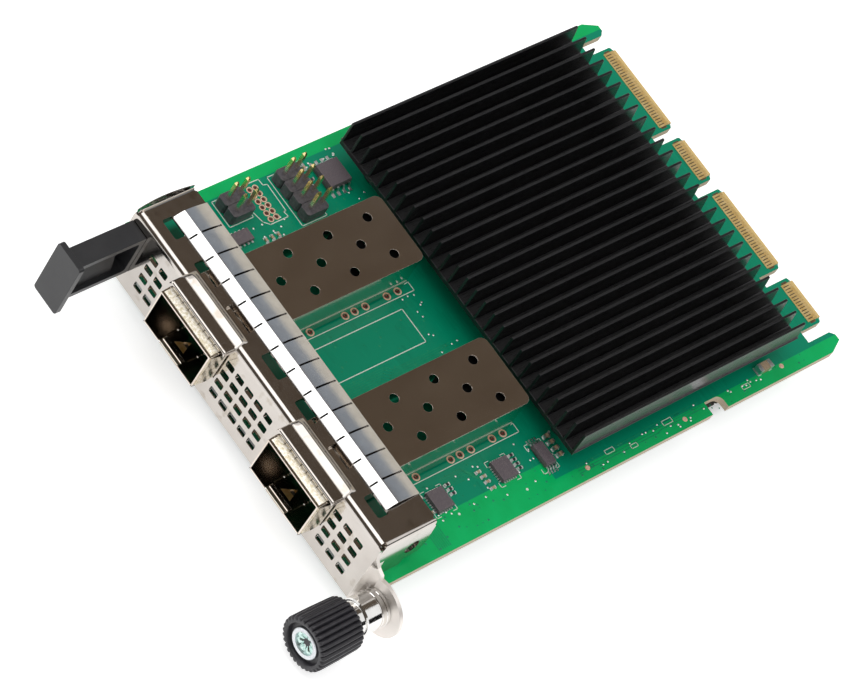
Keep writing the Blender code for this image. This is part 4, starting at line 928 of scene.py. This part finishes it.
cut_along(strip, (0.0, 1.0, 0.0), [strip_crown, strip_crown + 0.05])
cut_along(strip, (0.0, 1.0, 0.0), np.linspace(strip_crown + 0.4, strip_rear - 0.15, 12))
cut_along(strip, (1.0, 0.0, 0.0), [strip_left + pitch * (i + 0.5) for i in range(fingers)])
warp = np.random.default_rng(4).uniform(-1.0, 1.0, (fingers, 3))


def arch(x, y, w):
    """The strip's place once bent: a short rise at the front, a crease and a longer fall at the rear."""
    front = min(1.0, max(0.0, (y - strip_front) / (strip_crown - strip_front)))
    rear = min(1.0, max(0.0, (y - strip_crown) / (strip_rear - strip_crown)))
    rise = 0.69 * front + 0.31 * (1.0 - (1.0 - front) ** 3) - 0.42 * rear - 0.58 * rear * rear
    along = (y - strip_front) / (strip_rear - strip_front)
    finger = min(fingers - 1, max(0, int((x - strip_left) / pitch)))
    across = (x - strip_left) / pitch - finger - 0.5
    rise = strip_rise * rise + 0.02 * warp[finger][0] * math.sin(math.pi * along)
    rise += 0.03 * across * warp[finger][1] * along
    return Vector((x, y, strip_base + max(0.0, rise) + w))


bend_sheet(strip, arch)
piece("flange_fingers", strip, spring_sheet, sharp=40.0, replaces=("top_emi_spring",))
side_front, side_rear, side_low, side_high, side_count = 0.6, 13.0, 3.0, 10.0, 4
side_pitch = (side_high - side_low) / side_count
outline = rectangle(side_front, side_rear, side_low, side_high)
slits = [window_outline(side_front + 1.2, side_rear - 1.2, side_low + side_pitch * i - 0.15,
                        side_low + side_pitch * i + 0.15, 0.14, 5) for i in range(1, side_count)]
strip = plate([outline] + slits, 0.0, strip_thick)
cut_along(strip, (1.0, 0.0, 0.0), np.linspace(side_front + 0.25, side_rear - 0.25, 16))


def side_arch(y, z, w):
    along = (y - side_front) / (side_rear - side_front)
    return Vector((-face_half - 0.06 - w - 0.50 * math.sin(math.pi * along) ** 0.8, y, z))


bend_sheet(strip, side_arch)
piece("wall_fingers", strip, spring_sheet, sharp=40.0, replaces=("side_emi_spring",))

# Pin headers: black moulded bases, notched between the places, with square gold-plated pins pressed
# through them. Their tails are soldered from under the board.
header_left, header_pitch, base_half, notch = -33.7, 2.54, 1.26, 0.42
pin_half, pin_tip = 0.32, 0.13
base_black, tree, shader = finish("header_black", (0.07, 0.066, 0.075), 0.38)
tint(tree, shader, grain(tree, 0.6, 3.0), (0.050, 0.047, 0.054), (0.100, 0.094, 0.106))
dent(tree, shader, grain(tree, 0.15, 3.0), 0.008)
pin_gold, tree, shader = finish("pin_gold", (0.85, 0.68, 0.42), 0.22, 1.0)
along = wire(tree, "SeparateXYZ", {0: place_of(tree)}).outputs[2]
high = wire(tree, "MapRange", {"Value": along, "From Min": 2.6, "From Max": 5.2}).outputs[0]
tint(tree, shader, high, (0.80, 0.76, 0.74), (0.90, 0.70, 0.34))
for name, first_y, columns in (("pin_header_large", 35.3, 4), ("pin_header_small", 22.5, 2)):
    blocks, pins = [], []
    for column in range(columns):
        x = header_left + header_pitch * column
        x0, x1 = x - base_half, x + base_half
        y0, y1 = first_y - 1.22, first_y + header_pitch + 1.22
        block = [(x0 + notch, y0), (x1 - notch, y0), (x1, y0 + notch), (x1, y1 - notch),
                 (x1 - notch, y1), (x0 + notch, y1), (x0, y1 - notch), (x0, y0 + notch)]
        blocks.append(prism(block, 0.06, 2.5))
        for row in range(2):
            y = first_y + header_pitch * row
            pin = box(x - pin_half, x + pin_half, y - pin_half, y + pin_half, -1.9, 6.95)
            cap = [[(x + u, y + v, level) for u, v in rectangle(-half, half, -half, half)]
                   for half, level in ((pin_half, 6.93), (pin_tip, 7.5))]
            pins += [pin, skin(cap)]
    piece(name + "_base", merged(blocks), base_black, edge=0.08, replaces=(name,))
    piece(name + "_pins", merged(pins), pin_gold, sharp=20.0)

# Chips: moulded packages with tinned leads or pads, reflowed on the board. Their tops are matt and a
# little worn.
mould, tree, shader = finish("chip_mould", (0.12, 0.10, 0.11), 0.5)
speck = above(tree, grain(tree, 0.10, 4.0), 0.75, 0.1)
tint(tree, shader, speck, (0.105, 0.086, 0.098), (0.24, 0.19, 0.195))
dent(tree, shader, grain(tree, 0.10, 3.0), 0.012)
tin, tree, shader = finish("tin_plate", (0.86, 0.86, 0.86), 0.32, 1.0)
tint(tree, shader, grain(tree, 0.3, 2.0), (0.78, 0.78, 0.78), (0.92, 0.92, 0.92))
dent(tree, shader, grain(tree, 0.15, 2.0), 0.006)


def package(x0, x1, y0, y1, low, top, draft=0.12):
    """A moulded body with drafted sides above and below its parting line."""
    middle = (low + top) / 2
    rings = []
    for level, inset in ((low, draft), (middle, 0.0), (middle + 0.01, 0.0), (top, draft)):
        section = rectangle(x0 + inset, x1 - inset, y0 + inset, y1 - inset)
        rings.append([(x, y, level) for x, y in section])
    return skin(rings)


def wing(x, y, side, width, high, reach):
    """A gull-wing lead out of a body's side along X, down to a foot on the board."""
    section = [(0.0, high), (0.3 * reach, high), (0.55 * reach, 0.17), (reach, 0.15), (reach, 0.03),
               (0.45 * reach, 0.04), (0.2 * reach, high - 0.13), (0.0, high - 0.13)]
    return plate([[(x + side * u, v) for u, v in section]], y - width / 2, y + width / 2, "Y")


memory, memory_leads = package(-33.2, -28.2, 42.3, 47.3, 0.12, 1.7), []
for side, x in ((-1, -33.2), (1, -28.2)):
    lead_ys = [44.8 + 1.27 * (i - 1.5) for i in range(4)]
    memory_leads += [wing(x, y, side, 0.42, 0.9, 1.0) for y in lead_ys]
    pad_x = sorted((x + side * 0.55, x + side * 1.3))
    memory_leads += [box(*pad_x, y - 0.3, y + 0.3, sunk, 0.04) for y in lead_ys]
piece("memory_body", memory, mould, edge=0.06, replaces=("memory_chip",))
piece("memory_leads", merged(memory_leads), tin)
switch, switch_leads = package(28.45, 32.85, 44.35, 46.75, 0.1, 1.25), []
for side, x in ((-1, 28.45), (1, 32.85)):
    for i in range(4):
        y = 45.55 + 0.62 * (i - 1.5)
        switch_leads.append(wing(x, y, side, 0.3, 0.6, 1.35))
piece("switch_body", switch, mould, edge=0.05, replaces=("power_switch",))
piece("switch_leads", merged(switch_leads), tin)
for number, (x, y) in enumerate(((29.75, 37.1), (29.45, 22.5)), 1):
    body = package(x - 2.0, x + 2.0, y - 1.8, y + 1.8, 0.1, 0.95, 0.03)
    pads = []
    for i in range(7):
        across = x - 1.5 + 0.5 * i
        pads.append(box(across - 0.14, across + 0.14, y - 2.15, y - 1.72, sunk, 0.25))
        pads.append(box(across - 0.14, across + 0.14, y + 1.72, y + 2.05, sunk, 0.25))
    for i in range(6):
        along = y - 1.25 + 0.5 * i
        pads.append(box(x + 1.92, x + 2.25, along - 0.14, along + 0.14, sunk, 0.25))
        pads.append(box(x - 2.25, x - 1.92, along - 0.14, along + 0.14, sunk, 0.25))
    piece(f"regulator_{number}_body", body, mould, edge=0.04,
          replaces=(f"regulator_{number}",))
    piece(f"regulator_{number}_pads", merged(pads), tin)
clock = package(-28.2, -25.8, 19.55, 23.35, 0.1, 0.95, 0.03)
piece("clock_body", clock, mould, edge=0.05, replaces=("clock_chip",))
clock_pads = [box(*sorted((-27.0 + side * 1.1, -27.0 + side * 1.55)), 20.1 + 0.9 * i, 20.5 + 0.9 * i,
                  sunk, 0.3) for side in (-1, 1) for i in range(4)]
for number, (x, y) in enumerate(((-21.9, 45.1), (-19.2, 44.9)), 1):
    body = package(x - 0.9, x + 0.9, y - 0.7, y + 0.7, 0.1, 0.85)
    piece(f"translator_{number}_body", body, mould, edge=0.05,
          replaces=(f"translator_chip_{number}",))
    clock_pads += [box(x + 0.6 * u - 0.12, x + 0.6 * u + 0.12, y - 1.05, y - 0.6, sunk, 0.25)
                   for u in (-1, 0, 1)]
piece("small_chip_pads", merged(clock_pads), tin)

# Small resistors and capacitors: ceramic blocks of about one millimetre, glazed dark or fired brown,
# with tinned caps soldered to bare pads.
ceramic, tree, shader = finish("fired_brown", (0.42, 0.30, 0.19), 0.45)
tint(tree, shader, grain(tree, 0.3), (0.36, 0.25, 0.15), (0.50, 0.38, 0.25))
glaze, tree, shader = finish("glaze_black", (0.02, 0.02, 0.022), 0.3)
tint(tree, shader, grain(tree, 0.2), (0.014, 0.014, 0.016), (0.035, 0.035, 0.038))
bodies = {"glaze": [], "ceramic": []}
caps = []


def passive(x, y, length, width, high, kind, along="Y"):
    """A two-ended part along an axis, with its caps and the fillets of solder at its ends."""
    half, cap = length / 2, 0.24 * length
    spans = [(-half + 0.7 * cap, half - 0.7 * cap, width / 2 - 0.02, 0.06, high - 0.02),
             (-half, -half + cap, width / 2, 0.04, high), (half - cap, half, width / 2, 0.04, high),
             (-half - 0.16, half * -0.6, width / 2 + 0.06, sunk, 0.07),
             (half * 0.6, half + 0.16, width / 2 + 0.06, sunk, 0.07)]
    for number, (low, far, side, z0, z1) in enumerate(spans):
        shape = (box(x + low, x + far, y - side, y + side, z0, z1) if along == "X"
                 else box(x - side, x + side, y + low, y + far, z0, z1))
        (bodies[kind] if number == 0 else caps).append(shape)


for i in range(4):
    passive(27.9 + 1.3 * i, 48.7, 1.3, 0.7, 0.7, "ceramic")
passive(34.8, 96.4, 3.2, 1.6, 1.4, "ceramic")
for x, y in ((28.05, 40.2), (28.95, 40.2), (29.85, 40.2), (30.75, 40.2), (27.6, 25.8), (28.5, 25.8),
             (29.4, 25.8), (-31.6, 41.0), (-30.4, 40.9)):
    passive(x, y, 1.05, 0.5, 0.4, "glaze")
for x, y in ((28.1, 32.6), (29.2, 33.0), (30.3, 33.0), (27.6, 19.6), (30.7, 19.8), (31.7, 33.2),
             (-24.9, 25.6), (-24.9, 27.0), (-24.9, 28.4), (-22.9, 26.2), (-22.9, 27.6), (-35.2, 41.2),
             (-34.2, 41.3)):
    passive(x, y, 1.0, 0.5, 0.4, "ceramic", "X" if x < 0 else "Y")
piece("passive_glazed", merged(bodies["glaze"]), glaze, edge=0.03)
piece("passive_brown", merged(bodies["ceramic"]), ceramic, edge=0.03,
      replaces=("capacitor_1", "capacitor_2", "capacitor_3", "capacitor_4", "bulk_capacitor"))
piece("passive_caps", merged(caps), tin, edge=0.03)
dots = []
draw = np.random.default_rng(7)
for left, right, front, rear, count in ((26.5, 34.0, 16.0, 48.0, 34), (-36.0, -34.0, 40.0, 49.0, 8),
                                        (-28.0, -22.2, 24.0, 32.0, 16), (34.8, 37.2, 50.0, 96.0, 26),
                                        (-27.0, -22.5, 44.0, 49.0, 8), (-5.5, 8.5, 41.5, 46.0, 14)):
    for _ in range(count):
        x, y = draw.uniform(left, right), draw.uniform(front, rear)
        dots.append(lathe([(0.0, 0.05), (0.17, 0.04), (0.22, sunk), (0.0, sunk)], (x, y, 0.0), 10))
piece("test_points", merged(dots), tin, sharp=60.0)

# Pull tab: a black moulding with a finger plate, a beam with a pocket in its right side and a foot,
# pressed through a slot in the faceplate by its tenon.
plate_x, plate_y, plate_z = (-35.8, -29.6), (-15.6, -14.5), (-3.8, 9.5)
beam_x, beam_z, beam_rear, web_x = (-34.7, -30.7), (-2.0, 8.3), -0.06, -33.5
tab_black, tree, shader = finish("tab_moulding", (0.022, 0.022, 0.024), 0.36)
tint(tree, shader, grain(tree, 5.0), (0.018, 0.018, 0.020), (0.026, 0.026, 0.028))
dent(tree, shader, grain(tree, 0.16, 3.0), 0.005)
end = plate([window_outline(*plate_x, *plate_z, 0.55, 5)], *plate_y, "Y")
side = window_outline(plate_y[1] - 0.2, beam_rear, *beam_z, 0.12, 3)
pocket = window_outline(plate_y[1] + 0.02, -1.06, beam_z[0] + 1.1, beam_z[1] - 1.1, 0.6, 5)
web = plate([side], beam_x[0], web_x, "X")
rim = plate([side, pocket], web_x - 0.04, beam_x[1], "X")
gusset = plate([[(-14.3, -1.0), (-10.9, -1.0), (-12.0, -0.2), (-13.0, 0.6), (-13.6, 2.0), (-14.3, 2.9)]],
               web_x - 0.05, web_x + 0.9, "X")
wedge = prism([(web_x - 0.1, 6.4), (web_x - 0.1, -1.0), (-31.5, -1.0)], -11.9, -3.4, "Y")
for corner in wedge.verts:
    corner.co.y += 0.55 * (corner.co.z + 1.0) * (1.0 if corner.co.y < -8.0 else 0.15)
tenon = box(tab_x - 1.1, tab_x + 1.1, -0.6, 0.7, 0.15, 6.15)
piece("tab_body", merged([web, rim, gusset, wedge, tenon]), tab_black, edge=0.16, steps=3,
      replaces=("pull_tab",))
piece("tab_finger_plate", end, tab_black, edge=0.3, steps=4)

# Captive thumbscrew: a polished sleeve swaged in the ear, and a screw that turns and slides in it. Its
# knob is a black ridged moulding over the screw's head, which shows as a pale ring with a cross recess.
screw_at = (39.5, 0.0, -3.3)
knob_front, knob_rear = -14.0, -4.7
bore, bore_end = 3.15, -9.6
sleeve_front, shoulder, sleeve_back = -6.3, -2.7, 2.14
ridges, ridge_steps = 30, 8
knob_black, tree, shader = finish("knob_moulding", (0.020, 0.019, 0.024), 0.36)
tint(tree, shader, grain(tree, 0.9, 3.0), (0.016, 0.015, 0.019), (0.028, 0.026, 0.032))
dent(tree, shader, grain(tree, 0.14, 3.0), 0.006)
profile = [(0.0, -13.0, 0), (3.0, -13.0, 0), (3.0, -13.1, 0), (3.62, -13.1, 0), (3.68, -13.2, 0),
           (3.78, -13.8, 0), (3.86, -13.94, 0), (4.0, knob_front, 0.05), (4.35, knob_front, 0.35),
           (4.66, -13.99, 0.75), (4.82, -13.9, 1.0), (4.92, -13.68, 1.0), (4.96, -13.3, 1.0),
           (4.96, -12.8, 1.0), (4.92, -9.5, 1.0), (4.80, -6.2, 1.0), (4.77, -5.2, 1.0), (4.70, -4.85, 0.9),
           (4.45, knob_rear, 0.4), (3.35, knob_rear, 0), (bore, knob_rear - 0.2, 0), (bore, bore_end, 0),
           (0.0, bore_end, 0)]
sides = ridges * ridge_steps
rings = []
for radius, y, depth in profile:
    if radius == 0.0:
        rings.append([(0.0, y, 0.0)])
        continue
    ring = []
    for i in range(sides):
        part_way = (i % ridge_steps) / ridge_steps
        groove = math.exp(-((part_way - 0.5) / 0.16) ** 2) - 0.12 * math.cos(2 * math.pi * part_way)
        reach = radius - 0.42 * depth * groove
        angle = 2 * math.pi * i / sides
        ring.append((reach * math.cos(angle), y, reach * math.sin(angle)))
    rings.append(ring)
piece("knob_ridged", skin(rings, "open", screw_at), knob_black, body="thumbscrew",
      sharp=55.0, replaces=("thumbscrew_knob",))

polished, tree, shader = finish("polished_nickel", (0.80, 0.79, 0.77), 0.09, 1.0)
rub = grain(tree, 0.15, 2.0, (1.0, 0.15, 1.0))
vary_gloss(tree, shader, rub, 0.06, 0.13)
tint(tree, shader, grain(tree, 2.0), (0.76, 0.75, 0.73), (0.84, 0.83, 0.81))
pale_metal, tree, shader = finish("pale_insert", (0.70, 0.72, 0.75), 0.42, 1.0)
tint(tree, shader, grain(tree, 0.3, 3.0), (0.62, 0.64, 0.67), (0.80, 0.82, 0.84))
dent(tree, shader, grain(tree, 0.12, 3.0), 0.005)
# Painted reflection: the cross recess is coloured from dark teal to pale teal-white, standing in for the
# green board and the bright room mirrored in its metal.
recess_painted_reflection, tree, shader = finish("recess_painted_reflection_metal", (0.50, 0.66, 0.62), 0.2, 1.0)
tint(tree, shader, grain(tree, 0.4, 3.0), (0.32, 0.52, 0.47), (0.72, 0.86, 0.82))
head = [(2.1, -13.5), (2.1, -13.66), (2.22, -13.74), (2.74, -13.74), (2.88, -13.6), (2.88, -12.4),
        (2.1, -12.4)]
piece("screw_head", lathe(head, screw_at, 48, "Y", closed=True), pale_metal,
      body="thumbscrew", sharp=40.0, replaces=("thumbscrew_screw",))
dish_sides, dish_back = 48, -11.3
rings = []
for radius, y, ridge in ((2.2, dish_back, 0.0), (2.2, -13.3, 0.0), (1.95, -13.25, 0.15),
                         (1.4, -13.0, 0.45), (0.85, -12.75, 0.4), (0.35, -12.6, 0.1)):
    ring = []
    for i in range(dish_sides):
        angle = 2 * math.pi * i / dish_sides
        level = y - ridge * abs(math.cos(4 * angle)) ** 0.6
        ring.append((radius * math.cos(angle), level, radius * math.sin(angle)))
    rings.append(ring)
piece("recess_floor", skin(rings, place=screw_at), recess_painted_reflection, body="thumbscrew",
      sharp=50.0)
turned = [(0.0, dish_back), (2.6, dish_back), (2.75, -11.2), (1.8, -11.1), (1.8, -9.65), (1.5, -9.5),
          (1.5, -1.6)]
level = -1.4
while level < 2.2:
    turned += [(1.5, level), (1.26, level + 0.2), (1.5, level + 0.4)]
    level += 0.5
turned += [(1.15, 2.84), (0.0, 2.84)]
piece("screw_shank", lathe(turned, screw_at, 32, "Y"), zinc, body="thumbscrew",
      sharp=28.0)
sleeve = [(2.3, sleeve_front + 0.1), (2.45, sleeve_front), (2.85, sleeve_front), (3.0, sleeve_front + 0.15),
          (3.0, shoulder - 0.02), (3.25, shoulder), (3.45, shoulder + 0.2), (3.45, 0.35), (3.38, 0.45),
          (3.38, 0.6), (3.45, 0.7), (3.45, 1.5), (3.52, 1.6), (3.52, sleeve_back), (3.1, sleeve_back),
          (3.1, 2.96), (1.75, 2.96), (1.75, 1.3), (2.3, 1.2)]
piece("sleeve_turned", lathe(sleeve, screw_at, 64, "Y", closed=True), polished,
      sharp=30.0, replaces=("thumbscrew_sleeve",))

# Return spring: a coil of round steel wire between the knob's bore and the sleeve's inner shoulder. It
# is packed closer when the screw is pushed home.
coil_front, coil_rear, coil_radius, wire_thick, turns = bore_end, 1.2, 1.88, 0.46, 6
coil_steps, wire_sides = 24, 8
rings = []
stations = turns * coil_steps
for i in range(stations + 1):
    angle = 2 * math.pi * i / coil_steps
    along = min(1.0, max(0.0, (i - 16) / (stations - 32)))
    y = coil_front + wire_thick / 2 + (coil_rear - coil_front - wire_thick) * along
    outward = Vector((math.cos(angle), 0.0, math.sin(angle)))
    middle = outward * coil_radius + Vector((0.0, y, 0.0))
    rings.append([middle + outward * (wire_thick / 2 * math.cos(turn))
                  + Vector((0.0, wire_thick / 2 * math.sin(turn), 0.0))
                  for turn in (2 * math.pi * k / wire_sides for k in range(wire_sides))])
spring = piece("return_coil", skin(rings, place=screw_at), zinc,
               body="thumbscrew_turner", sharp=60.0, replaces=("thumbscrew_spring",))
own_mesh(spring)
